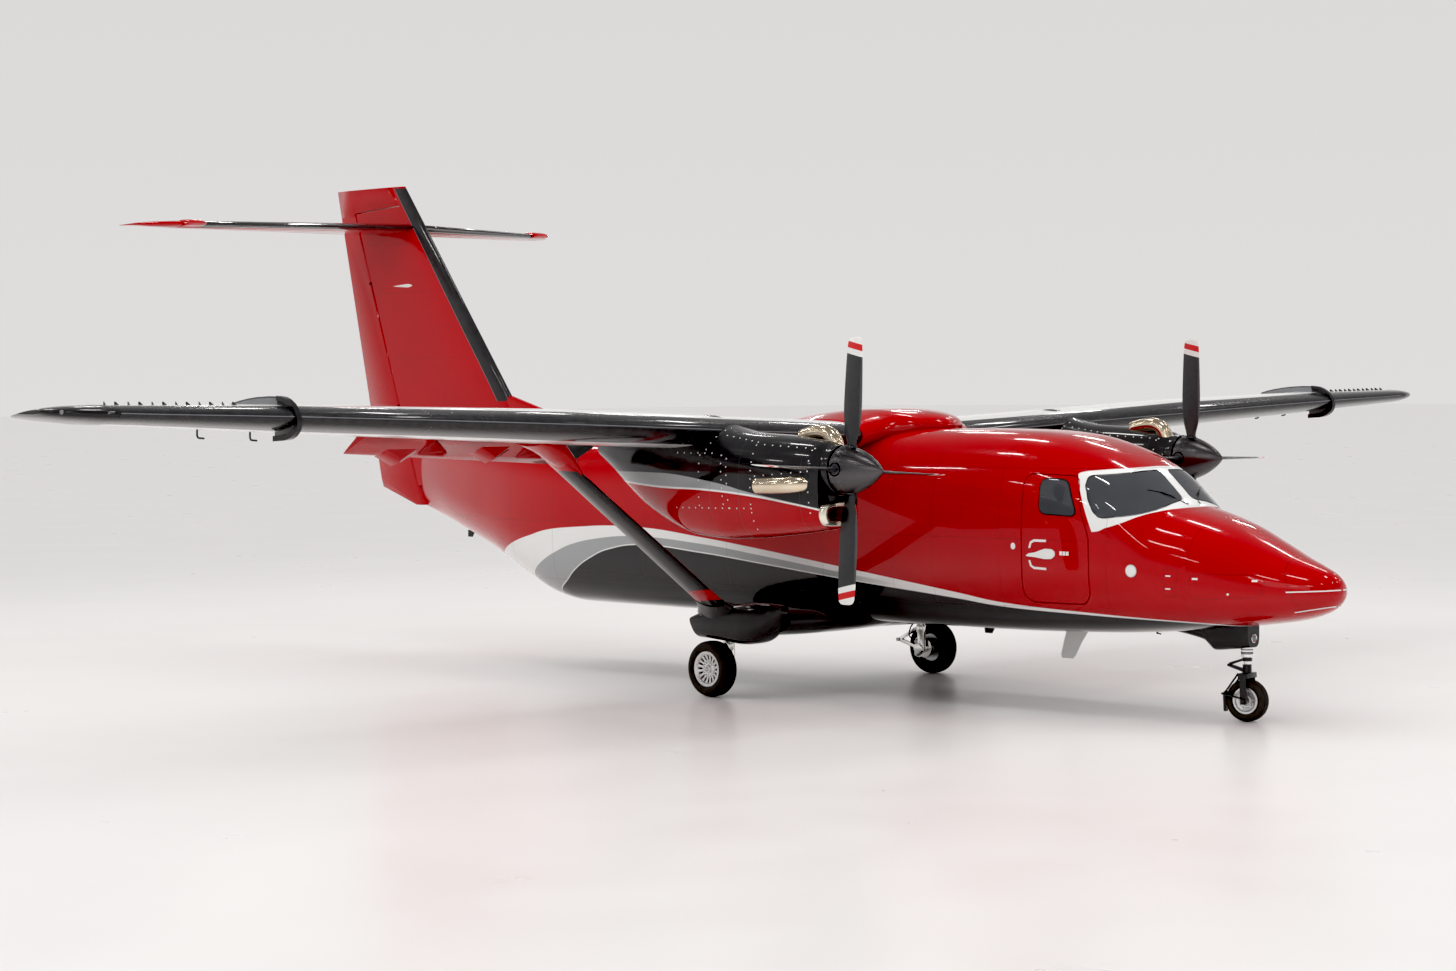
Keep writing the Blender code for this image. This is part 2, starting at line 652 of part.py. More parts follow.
def largest(ob):
    # keep the biggest loose piece of a cut body
    bm = bmesh.new()
    bm.from_mesh(ob.data)
    seen = set()
    groups = []
    for v in bm.verts:
        if v.index in seen:
            continue
        stack = [v]
        group = []
        seen.add(v.index)
        while stack:
            w = stack.pop()
            group.append(w)
            for e in w.link_edges:
                o = e.other_vert(w)
                if o.index not in seen:
                    seen.add(o.index)
                    stack.append(o)
        groups.append(group)
    groups.sort(key=len, reverse=True)
    for g in groups[1:]:
        bmesh.ops.delete(bm, geom=g, context="VERTS")
    bm.to_mesh(ob.data)
    bm.free()
    return ob


for piece in (exh_out, exh_in, fence, nacelle):
    largest(piece)

# Landing gear pod and stub carrying the strut and the wheel
POD = [
    (2.150, 0.960, 1.060, 0.060, 1.010, 2.4, 2.4),
    (2.080, 0.840, 1.080, 0.120, 0.960, 2.6, 2.6),
    (1.960, 0.720, 1.090, 0.175, 0.880, 2.8, 2.8),
    (1.800, 0.642, 1.092, 0.210, 0.840, 3.2, 3.2),
    (1.600, 0.616, 1.075, 0.228, 0.830, 3.4, 3.4),
    (1.300, 0.640, 1.035, 0.228, 0.830, 3.4, 3.4),
    (1.080, 0.655, 0.993, 0.220, 0.830, 3.4, 3.4),
    (0.930, 0.662, 0.955, 0.205, 0.820, 3.4, 3.4),
    (0.720, 0.665, 0.880, 0.175, 0.790, 3.4, 3.4),
]
POD_Y = -1.760
pod = loft("pod", [body_ring(r, 20, POD_Y) for r in POD], "black_paint")
# Stub section in x and z, and its rows: y, share of the section's reach about STUB_C
STUB = [(2.420, 0.900), (2.250, 1.005), (1.900, 1.068), (1.300, 1.072), (0.750, 0.980), (0.500, 0.880), (0.750, 0.775),
        (1.300, 0.684), (1.700, 0.690), (2.080, 0.730), (2.310, 0.790)]
STUB_C = (1.320, 0.860)
STUB_ROWS = ((-0.0002, 0.90), (-0.700, 1.0), (-1.150, 1.0), (-1.700, 0.80))
stub_rings = []
for y, k in STUB_ROWS:
    tall = 0.7 + 0.3 * k
    stub_rings.append([(STUB_C[0] + (x - STUB_C[0]) * k, y, STUB_C[1] + (z - STUB_C[1]) * tall) for x, z in STUB])
stub = loft("stub", stub_rings, "black_paint")
pod = join("gear_pod_stbd", [pod, stub])
cut(pod, grown(outer, SEAT, "outer_grown"))
# flat slanted rear face
cut(pod, prism("pod_rear", [(0.300, 0.500), (1.031, 0.500), (0.640, 1.100), (0.300, 1.100)], "xz", -2.2, -1.3, "steel", True))
largest(pod)

# Wing strut: lens section from the pod up to the wing
STRUT_LOW = (1.230, -1.800, 0.930)
STRUT_TOP = (1.640, -5.000, 3.000)


def strut_ring(p, chord, thick):
    axis = (Vector(STRUT_TOP) - Vector(STRUT_LOW)).normalized()
    fore = Vector((1, 0, 0))
    fore = (fore - axis * fore.dot(axis)).normalized()
    side = axis.cross(fore).normalized()
    ring = []
    for c, h in ((0.5, 0.0), (0.44, 0.5), (0.28, 0.86), (0.05, 1.0), (-0.2, 0.78), (-0.5, 0.06),
                 (-0.5, -0.06), (-0.2, -0.78), (0.05, -1.0), (0.28, -0.86), (0.44, -0.5)):
        ring.append(Vector(p) + fore * chord * c + side * thick * 0.5 * h)
    return ring


strut = loft("wing_strut_stbd", [strut_ring(STRUT_LOW, 0.43, 0.115), strut_ring(STRUT_TOP, 0.34, 0.105)], "black_paint")
cut(strut, grown(solid_wing, SEAT, "wing_grown"))
cut(strut, grown(pod, SEAT, "pod_grown"))
largest(strut)

# Main leg: post, torque link, axle and brake
LEG_Y = -1.640
post = rod("main_leg_stbd", (1.120, LEG_Y, 0.620), (1.120, LEG_Y, 0.290), 0.050, "steel", 16)
# the post's top is let into the pod
sock = rod("sock", (1.120, LEG_Y, 0.500), (1.120, LEG_Y, 0.760), 0.050 + SEAT, "steel", 16, True)
post2 = rod("post2", (1.120, LEG_Y, 0.560), (1.120, LEG_Y, 0.7595), 0.050, "steel", 16)
cut(pod, sock)
axle = rod("axle", (1.100, LEG_Y + 0.055, WHEEL_R), (1.100, -WHEEL_Y - 0.075, WHEEL_R), 0.030, "steel", 16)
knuckle = rod("knuckle", (1.105, LEG_Y + 0.060, WHEEL_R), (1.105, LEG_Y - 0.060, WHEEL_R), 0.062, "steel", 16)
collar = rod("collar", (1.120, LEG_Y, 0.520), (1.120, LEG_Y, 0.600), 0.064, "steel", 16)
link_a = prism("link_a", [(1.090, 0.570), (0.760, 0.385), (0.760, 0.425), (1.090, 0.600)], "xz", LEG_Y - 0.022, LEG_Y + 0.022, "steel")
link_b = prism("link_b", [(1.090, 0.300), (1.090, 0.340), (0.760, 0.425), (0.745, 0.395)], "xz", LEG_Y - 0.022, LEG_Y + 0.022, "steel")
brake = turned("brake", [(0.0, 0.120), (0.030, 0.120)], (0, -1, 0), (1.100, LEG_Y - 0.068, WHEEL_R), "steel", 24)
leg = join("main_leg_stbd", [post, post2, collar, knuckle, axle, link_a, link_b, brake])

TYRE = [(0.0, 0.998), (0.20, 0.990), (0.34, 0.962), (0.445, 0.905), (0.50, 0.820), (0.495, 0.745), (0.45, 0.680), (0.40, 0.640)]


def wheel(name, x, y, z, r, w, axle_r, outside):
    # tyre and rim as one turned body round an open bore; outside is the side of the dished face
    prof = []
    for a, b in reversed(TYRE):
        prof.append((-a * w, b * r))
    for a, b in TYRE[1:]:
        prof.append((a * w, b * r))
    rim = [(0.355 * w, 0.600 * r), (0.330 * w, 0.520 * r), (0.300 * w, 0.300 * r), (0.350 * w, 0.240 * r), (0.350 * w, axle_r),
           (-0.200 * w, axle_r), (-0.200 * w, 0.300 * r), (-0.120 * w, 0.540 * r), (-0.355 * w, 0.600 * r)]
    prof += rim
    seg = 30
    verts = []
    faces = []
    n = len(prof)
    for j in range(seg):
        t = 2 * pi * j / seg
        for a, b in prof:
            verts.append((x + b * cos(t), y + outside * a, z + b * sin(t)))
    for j in range(seg):
        k = (j + 1) % seg
        for i in range(n):
            m = (i + 1) % n
            faces.append((j * n + i, j * n + m, k * n + m, k * n + i))
    return from_faces(name, verts, faces, "rubber")


main_wheel = wheel("main_wheel_stbd", WHEEL_X, -WHEEL_Y, WHEEL_R, WHEEL_R, WHEEL_W, 0.030 / cos(pi / 30) + SEAT, -1)

# Nose gear bay fairing, leg, fork and wheel
BAY = [
    (7.240, 0.775, 1.250, 0.100, 1.000, 3.4, 4.0),
    (7.150, 0.760, 1.250, 0.125, 1.000, 3.4, 4.0),
    (6.980, 0.742, 1.200, 0.140, 1.000, 3.4, 3.8),
    (6.800, 0.726, 1.150, 0.135, 1.000, 3.2, 3.6),
    (6.740, 0.762, 1.150, 0.125, 1.000, 3.0, 3.4),
    (6.660, 0.820, 1.120, 0.115, 1.000, 3.0, 3.2),
    (6.520, 0.853, 1.100, 0.110, 1.000, 3.0, 3.0),
    (6.360, 0.880, 1.080, 0.100, 1.000, 3.0, 3.0),
    (6.250, 0.892, 1.060, 0.085, 1.000, 2.6, 2.6),
]
bay = loft("nose_gear_fairing", [body_ring(r, 20) for r in BAY], "black_paint")
cut(bay, grown(outer, SEAT, "outer_grown"))
largest(bay)
oleo = rod("nose_leg", (NOSE_X, 0, 0.7046), (NOSE_X, 0, 0.512), OLEO_R, "bright_steel", 20)
oleo_top = rod("oleo_top", (NOSE_X, 0, 0.672), (NOSE_X, 0, 0.7146), 0.060, "steel", 16)
sock = rod("sock", (NOSE_X, 0, 0.600), (NOSE_X, 0, 0.800), 0.060 + SEAT, "steel", 16, True)
oleo_in = rod("oleo_in", (NOSE_X, 0, 0.700), (NOSE_X, 0, 0.7995), 0.060, "steel", 16)
cut(bay, sock)
nose_leg = join("nose_leg", [oleo, oleo_top, oleo_in])

turn_pivot = Matrix.Translation((NOSE_X, 0, 0)) @ Matrix.Rotation(radians(NOSE_TURN), 4, "Z") @ Matrix.Translation((-NOSE_X, 0, 0))
sleeve = rod("nose_fork", (NOSE_X, 0, 0.592), (NOSE_X, 0, 0.480), 0.046, "steel", 16)
crown = prism("crown", [(NOSE_X - 0.055, 0.455), (NOSE_X + 0.055, 0.455), (NOSE_X + 0.052, 0.506), (NOSE_X - 0.052, 0.506)],
              "xz", -0.118, 0.118, "steel")
fork_l = prism("fork_l", [(NOSE_X - 0.040, 0.500), (NOSE_X - 0.032, NOSE_R - 0.037), (NOSE_X + 0.032, NOSE_R - 0.037),
                          (NOSE_X + 0.040, 0.500)], "xz", 0.093, 0.115, "steel")
fork_r = prism("fork_r", [(NOSE_X - 0.040, 0.500), (NOSE_X - 0.032, NOSE_R - 0.037), (NOSE_X + 0.032, NOSE_R - 0.037),
                          (NOSE_X + 0.040, 0.500)], "xz", -0.115, -0.093, "steel")
fork_axle = rod("fork_axle", (NOSE_X, -0.128, NOSE_R), (NOSE_X, 0.128, NOSE_R), 0.0235, "steel", 14)
lug_low = prism("lug_low", [(NOSE_X - 0.030, 0.512), (NOSE_X - 0.030, 0.548), (NOSE_X - 0.190, 0.590), (NOSE_X - 0.200, 0.565)],
                "xz", -0.020, 0.020, "steel")
collar = rod("collar", (NOSE_X, 0, 0.628), (NOSE_X, 0, 0.662), 0.052, "steel", 16)
lug_up = prism("lug_up", [(NOSE_X - 0.040, 0.632), (NOSE_X - 0.040, 0.656), (NOSE_X - 0.196, 0.606), (NOSE_X - 0.206, 0.574)],
               "xz", -0.017, 0.017, "steel")
fork = join("nose_fork", [sleeve, crown, fork_l, fork_r, fork_axle, lug_low, lug_up, collar])
cut(fork, rod("bore", (NOSE_X, 0, 0.506), (NOSE_X, 0, 0.700), OLEO_R / cos(pi / 20) + SEAT, "steel", 20, True))
nose_wheel = wheel("nose_wheel", NOSE_X, 0.0, NOSE_R, NOSE_R, NOSE_W, 0.0235 / cos(pi / 30) + SEAT, -1)


def baked(ob, matrix):
    ob.data.transform(matrix)
    return ob


baked(fork, turn_pivot)
baked(nose_wheel, turn_pivot)

# Fin and rudder: z, leading edge x, hinge x, trailing edge x, half thickness at the hinge
FIN = [
    (2.700, -4.110, -6.716, -7.526, 0.100),
    (3.350, -4.562, -6.955, -7.680, 0.092),
    (4.500, -5.452, -7.382, -7.951, 0.076),
    (5.740, -6.411, -7.838, -8.244, 0.060),
    (6.310, -6.852, -8.047, -8.378, 0.052),
]


def fin_outline(row, grow=0.0):
    z, xle, xh, xte, th = row
    pts = []
    t = th * 1.15
    c = xle - xh
    for f, k in ((0.0, 0.0), (0.03, 0.36), (0.10, 0.64), (0.28, 0.93), (0.50, 1.0), (0.75, 0.97), (1.0, 0.87)):
        pts.append((xle - c * f, t * k, z))
    pts.append((xte, 0.0025, z))
    for f, k in reversed(((0.03, 0.36), (0.10, 0.64), (0.28, 0.93), (0.50, 1.0), (0.75, 0.97), (1.0, 0.87))):
        pts.append((xle - c * f, -t * k, z))
    pts.insert(8, (xte, -0.0025, z))
    return pts


fin = loft("fin", [fin_outline(r) for r in FIN], "red_paint")
DORSAL = [(-3.300, 2.900), (-3.400, 3.100), (-4.620, 3.420), (-4.900, 3.300), (-4.900, 2.900)]
dorsal = prism("dorsal", DORSAL, "xz", -0.035, 0.035, "red_paint")
fin = join("fin", [fin, dorsal])
# everything aft of the hinge and above the horn line belongs to the rudder
HORN_LOW = 5.990
HORN_FRONT = 0.235


def hinge_at(z):
    a, b = FIN[0], FIN[-1]
    return a[2] + (b[2] - a[2]) * (z - a[0]) / (b[0] - a[0])


def le_at(z):
    a, b = FIN[1], FIN[-1]
    return a[1] + (b[1] - a[1]) * (z - a[0]) / (b[0] - a[0])


def half_at(z):
    a, b = FIN[0], FIN[-1]
    return a[4] + (b[4] - a[4]) * (z - a[0]) / (b[0] - a[0])


rud_rows = [(1.960, hinge_at(1.960), -7.300, 0.105), (2.300, hinge_at(2.300), -7.430, 0.103), (3.350, hinge_at(3.350), -7.680, half_at(3.350)),
            (5.955, hinge_at(5.955), -8.294, half_at(5.955))]
rud_rings = []
bay_rings = []
for z, xh, xte, th in rud_rows:
    ring = []
    for a in (90, 60, 30, 0, -30, -60, -90):
        ring.append((xh + th * cos(radians(a)), th * sin(radians(a)), z))
    ring.append((xte, -0.0025, z))
    ring.append((xte, 0.0025, z))
    rud_rings.append(ring)
for z in (1.60, 5.975):
    xh = hinge_at(z)
    q = half_at(z) + MOVE_GAP + 0.004
    ring = [(xh + 0.45 * q, 0.5, z)]
    for a in (63, 35, 0, -35, -63):
        ring.append((xh + q * cos(radians(a)) * 1.03, q * sin(radians(a)), z))
    ring.append((xh + 0.45 * q, -0.5, z))
    ring.append((xh - 1.8, -0.5, z))
    ring.append((xh - 1.8, 0.5, z))
    bay_rings.append(ring)
rudder = loft("rudder", rud_rings, "red_paint")
# slanted lower end of the rudder
foot = prism("foot", [(-6.300, 1.80), (-6.300, 1.900), (-6.560, 1.965), (-7.420, 2.200), (-7.800, 2.320), (-7.800, 1.80)],
             "xz", -0.3, 0.3, "steel", True)
cut(rudder, foot)
fin_cut = loft("fin_cut", bay_rings, "steel", True)
cut(fin, fin_cut, True)
cut(body, fin_cut)
top_cut = prism("top_cut", [(-9.0, 5.974), (hinge_at(5.974) + 0.03, 5.974), (le_at(6.045) - HORN_FRONT, 6.040),
                            (le_at(6.40) - HORN_FRONT, 6.40), (-9.0, 6.40)], "xz", -0.4, 0.4, "steel", True)
horn_full = loft("horn", [fin_outline(r) for r in FIN[-2:]], "red_paint")
horn_keep = prism("horn_keep", [(-9.0, 5.940), (hinge_at(5.940) - 0.010, 5.940), (hinge_at(5.984) + 0.02, 5.984), (le_at(6.057) - HORN_FRONT - 0.010, 6.052),
                                (le_at(6.40) - HORN_FRONT - 0.010, 6.40), (-9.0, 6.40)], "xz", -0.4, 0.4, "steel", True)
boolean(horn_full, horn_keep, "INTERSECT")
bpy.data.objects.remove(horn_keep, do_unlink=True)
cut(fin, top_cut)
rudder = join("rudder", [rudder, horn_full])
RUD_AXIS = (hinge_at(6.0) - hinge_at(3.0), 0.0, 3.0)
for z in (3.300, 5.000):
    hinge_lug(fin, rudder, (hinge_at(z), 0.0, z), RUD_AXIS, (1, 0, 0), half_at(z) + 0.07, half_at(z), half_at(z) + 0.03)
largest(fin)
fin_seat = grown(outer, SEAT, "outer_grown")
cut(fin, fin_seat)
largest(fin)

# Stabiliser and elevators: y, leading edge x, hinge x, trailing edge x, half thickness
TAIL_Z = 5.740
STAB = [
    (0.020, -6.600, -7.740, -8.130, 0.062),
    (3.110, -7.600, -8.020, -8.430, 0.040),
]


def stab_ring(row, side, z=TAIL_Z):
    y, xle, xh, xte, th = row
    c = xle - xh
    t = th * 1.12
    pts = []
    for f, k in ((0.0, 0.0), (0.03, 0.36), (0.10, 0.64), (0.28, 0.93), (0.50, 1.0), (0.75, 0.97), (1.0, 0.88)):
        pts.append((xle - c * f, side * y, z + t * k))
    pts.append((xte, side * y, z + 0.0025))
    pts.append((xte, side * y, z - 0.0025))
    for f, k in reversed(((0.03, 0.36), (0.10, 0.64), (0.28, 0.93), (0.50, 1.0), (0.75, 0.97), (1.0, 0.88))):
        pts.append((xle - c * f, side * y, z - t * k))
    return pts


def stab_at(y):
    a, b = STAB
    f = (y - a[0]) / (b[0] - a[0])
    return (y,) + tuple(p + (q - p) * f for p, q in zip(a[1:], b[1:]))


stab = loft("stabiliser_stbd", [stab_ring(stab_at(y), -1) for y in (0.020, 3.104)], "black_paint")
rings = []
for y in (-0.5, 3.4):
    _, xle, xh, xte, th = stab_at(y)
    q = th + MOVE_GAP + 0.004
    ring = [(xh + 0.45 * q, -y, TAIL_Z + 0.4)]
    for a in (63, 35, 0, -35, -63):
        ring.append((xh + q * cos(radians(a)) * 1.03, -y, TAIL_Z + q * sin(radians(a))))
    ring.append((xh + 0.45 * q, -y, TAIL_Z - 0.4))
    ring.append((xh - 1.5, -y, TAIL_Z - 0.4))
    ring.append((xh - 1.5, -y, TAIL_Z + 0.4))
    rings.append(ring)
cut(stab, loft("stab_cut", rings, "steel", True))
stab_seat = grown(fin, SEAT, "fin_grown")
cut(stab, stab_seat)
largest(stab)
ELEV_IN = 0.300
elev_rings = []
for y in (ELEV_IN, 3.112):
    _, xle, xh, xte, th = stab_at(y)
    ring = []
    for a in (90, 60, 30, 0, -30, -60, -90):
        ring.append((xh + th * cos(radians(a)), -y, TAIL_Z + th * sin(radians(a))))
    ring.append((xte, -y, TAIL_Z - 0.0025))
    ring.append((xte, -y, TAIL_Z + 0.0025))
    elev_rings.append(ring)
elevator = loft("elevator_stbd", elev_rings, "red_paint")
HORN_TIP = [
    (3.112, -7.600, -8.020, -8.430, 0.040),
    (3.360, -7.850, -8.060, -8.452, 0.030),
    (3.540, -8.030, -8.110, -8.460, 0.014),
]
tip = loft("tip", [stab_ring(r, -1) for r in HORN_TIP], "red_paint")
elevator = join("elevator_stbd", [elevator, tip])
ea = stab_at(ELEV_IN)
eb = stab_at(3.112)
for y in (0.900, 2.400):
    r = stab_at(y)
    hinge_lug(stab, elevator, (r[2], -y, TAIL_Z), (eb[2] - ea[2], ea[0] - eb[0], 0.0), (1, 0, 0), r[4] + 0.06, r[4], r[4] + 0.02)

# Propeller: spinner and four blades in the feathered position
BLADE = [
    (0.060, 0.110, 0.080),
    (0.260, 0.120, 0.062),
    (0.420, 0.205, 0.044),
    (0.700, 0.255, 0.034),
    (1.050, 0.245, 0.024),
    (1.280, 0.225, 0.018),
    (1.365, 0.195, 0.014),
    (1.395, 0.120, 0.010),
]


# Spinner: distance ahead of its base, radius
SPINNER = [(0.0, SPIN_R), (0.040, SPIN_R), (0.125, 0.243), (0.240, 0.204), (0.355, 0.147), (0.460, 0.078), (0.517, 0.027),
           (0.537, 0.006)]


def propeller(name, y, turn):
    spin = turned(name, SPINNER, (1, 0, 0), (SPIN_BASE_X, y, SHAFT_Z), "dark_alloy", 32)
    for k in range(4):
        ang = radians(turn + 90 * k)
        out = Vector((0, sin(ang), cos(ang)))
        across = Vector((0, cos(ang), -sin(ang)))
        rings = []
        for r, chord, thick in BLADE:
            ring = []
            for c, h in ((0.5, 0.0), (0.40, 0.62), (0.15, 1.0), (-0.15, 0.86), (-0.5, 0.06), (-0.5, -0.06), (-0.15, -0.86),
                         (0.15, -1.0), (0.40, -0.62)):
                p = Vector((PROP_X, y, SHAFT_Z)) + out * r + Vector((1, 0, 0)) * chord * c + across * thick * 0.5 * h
                ring.append(p)
            rings.append(ring)
        blade = loft("blade", rings, "black_paint")
        boolean(spin, blade, "UNION")
        bpy.data.objects.remove(blade, do_unlink=True)
    cut(spin, rod("bore", (SPIN_BASE_X - 0.02, y, SHAFT_Z), (4.295, y, SHAFT_Z), SHAFT_R / cos(pi / 32) + SEAT, "steel", 32, True))
    return spin


prop_s = propeller("propeller_stbd", -SHAFT_Y, 3.6)
prop_p = propeller("propeller_port", SHAFT_Y, 1.2)

# Port side copies
port = {}
for ob, name in ((wing, "wing_port"), (aileron, "aileron_port"), (fence, "wing_fence_port"), (nacelle, "nacelle_port"),
                 (lip_out, "inlet_lip_port"), (engine, "engine_port"), (exh_out, "exhaust_outer_port"),
                 (exh_in, "exhaust_inner_port"), (pod, "gear_pod_port"), (strut, "wing_strut_port"),
                 (leg, "main_leg_port"), (main_wheel, "main_wheel_port"), (stab, "stabiliser_port"),
                 (elevator, "elevator_port"), (flaps[0][0], "flap_inner_port"), (flaps[1][0], "flap_outer_port")):
    port[name] = mirrored(ob, name)

bpy.data.objects.remove(solid_wing, do_unlink=True)
bpy.data.objects.remove(outer, do_unlink=True)


def unit(a, b):
    d = Vector(b) - Vector(a)
    return d.normalized()


def hang(ob, point, droop=0.0, axis=(0, 1, 0)):
    # put the origin on the joint, with an optional turn about the joint's axis
    p = Vector(point)
    ob.data.transform(Matrix.Translation(-p))
    if droop:
        ob.data.transform(Matrix.Rotation(radians(droop), 4, Vector(axis)))
    ob.location = p
    return ob


for side, tag in ((-1, "stbd"), (1, "port")):
    for label, y0, y1 in FLAP_SPANS:
        ob = bpy.data.objects["flap_" + label + "_" + tag]
        ym = 0.5 * (y0 + y1)
        p0 = Vector((FLAP_HX, side * y0, hinge_z(y0)))
        p1 = Vector((FLAP_HX, side * y1, hinge_z(y1)))
        ax = unit(p0, p1) * side
        hang(ob, (p0 + p1) / 2, -FLAP_DROOP, ax)
    ob = bpy.data.objects["aileron_" + tag]
    x0, z0, _ = aileron_hinge(8.53)
    hang(ob, (x0, side * 8.53, z0))
    ob = bpy.data.objects["elevator_" + tag]
    r = stab_at(1.700)
    hang(ob, (r[2], side * 1.700, TAIL_Z))
    hang(bpy.data.objects["main_wheel_" + tag], (WHEEL_X, side * WHEEL_Y, WHEEL_R))
    hang(bpy.data.objects["propeller_" + tag], (PROP_X, side * SHAFT_Y, SHAFT_Z))
hang(rudder, (hinge_at(4.0), 0.0, 4.0))
hang(fork, (NOSE_X, 0.0, 0.53))
hang(nose_wheel, (NOSE_X, 0.0, NOSE_R))
hang(crew_s, (5.812, -0.945, 1.80))
hang(crew_p, (5.812, 0.945, 1.80))
hang(cargo, (-1.425, 0.880, 2.612))

# The whole aircraft hangs on one empty so that its box is centred on the origin
root = bpy.data.objects.new("aircraft_root", None)
part_coll.objects.link(root)
root.location = (SHIFT_X, 0.0, 0.0)
for ob in list(part_coll.objects):
    if ob is root:
        continue
    ob.parent = root
    if ob.type == "MESH":
        for poly in ob.data.polygons:
            poly.use_smooth = True
bpy.context.view_layer.update()
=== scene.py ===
# Turboprop airliner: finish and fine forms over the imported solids.
# Tables are in the part's own frame: +X nose, +Y port, metres; SHIFT_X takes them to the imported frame.
import bpy
import bmesh
import json
import numpy as np
from math import radians, sin, cos, pi, copysign, sqrt
from mathutils import Vector, Matrix
from mathutils.bvhtree import BVHTree

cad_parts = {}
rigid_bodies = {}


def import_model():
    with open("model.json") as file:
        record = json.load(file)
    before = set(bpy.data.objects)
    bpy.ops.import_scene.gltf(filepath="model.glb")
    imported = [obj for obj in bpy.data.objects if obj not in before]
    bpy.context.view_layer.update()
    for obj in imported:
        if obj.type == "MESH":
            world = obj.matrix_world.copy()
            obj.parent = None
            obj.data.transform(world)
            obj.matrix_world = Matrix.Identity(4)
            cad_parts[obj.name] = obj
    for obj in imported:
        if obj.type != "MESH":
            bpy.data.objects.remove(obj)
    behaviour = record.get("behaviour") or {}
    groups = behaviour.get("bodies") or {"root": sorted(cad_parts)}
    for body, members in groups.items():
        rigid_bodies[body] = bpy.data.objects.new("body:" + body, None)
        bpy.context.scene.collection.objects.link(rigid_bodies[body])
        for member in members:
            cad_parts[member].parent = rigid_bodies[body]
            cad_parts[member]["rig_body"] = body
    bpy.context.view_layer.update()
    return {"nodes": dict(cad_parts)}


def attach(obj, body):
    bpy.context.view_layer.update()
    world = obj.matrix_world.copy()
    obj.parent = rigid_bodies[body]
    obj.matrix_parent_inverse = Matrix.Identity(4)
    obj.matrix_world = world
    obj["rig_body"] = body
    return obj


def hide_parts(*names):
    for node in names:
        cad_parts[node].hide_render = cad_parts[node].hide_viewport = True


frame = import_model()

SHIFT_X = 0.063
MOVE_GAP = 0.008
SHAFT_Y = 2.893
SHAFT_Z = 2.639
PROP_X = 4.266
NOSE_X = 7.155
NOSE_R = 0.222
WHEEL_X = 1.100
WHEEL_Y = 1.874
WHEEL_R = 0.318
NOSE_TURN = radians(12.0)
SIDES = ((-1, "stbd"), (1, "port"))

# Colours, linear
RED = (0.440, 0.0035, 0.0070)
WHITE = (0.82, 0.82, 0.81)
LIGHT_GREY = (0.36, 0.37, 0.38)
BLACK = (0.025, 0.0245, 0.026)
CHARCOAL = (0.030, 0.031, 0.034)
SEAM_RED = (0.05, 0.012, 0.014)
BOOT_LINE = (0.30, 0.31, 0.33)
BOOT_EDGE = (0.35, 0.36, 0.38)
SEAM_GREY = (0.25, 0.25, 0.26)
SEAM_BLACK = (0.07, 0.07, 0.075)
BAND_RED = (0.62, 0.01, 0.012)
STRIP_GREY = (0.16, 0.16, 0.17)
PLATE_PALE = (0.78, 0.77, 0.75)
SEAM_TAIL = (0.06, 0.01, 0.01)
BOOT_RIM = (0.32, 0.33, 0.35)
SHEET_GREY = (0.20, 0.205, 0.215)
SHEET_RIM = (0.05, 0.05, 0.055)
FLAP_BLACK = (0.020, 0.020, 0.022)
SEAM_FLAP = (0.05, 0.01, 0.01)
GLASS_HAZE = (0.10, 0.105, 0.115)

# Softness of a paint edge, of a mask's end and half the width of a seam, metres
PAINT_EDGE = 0.006
END_SOFT = 0.01
SEAM_HALF = 0.002


# Node materials

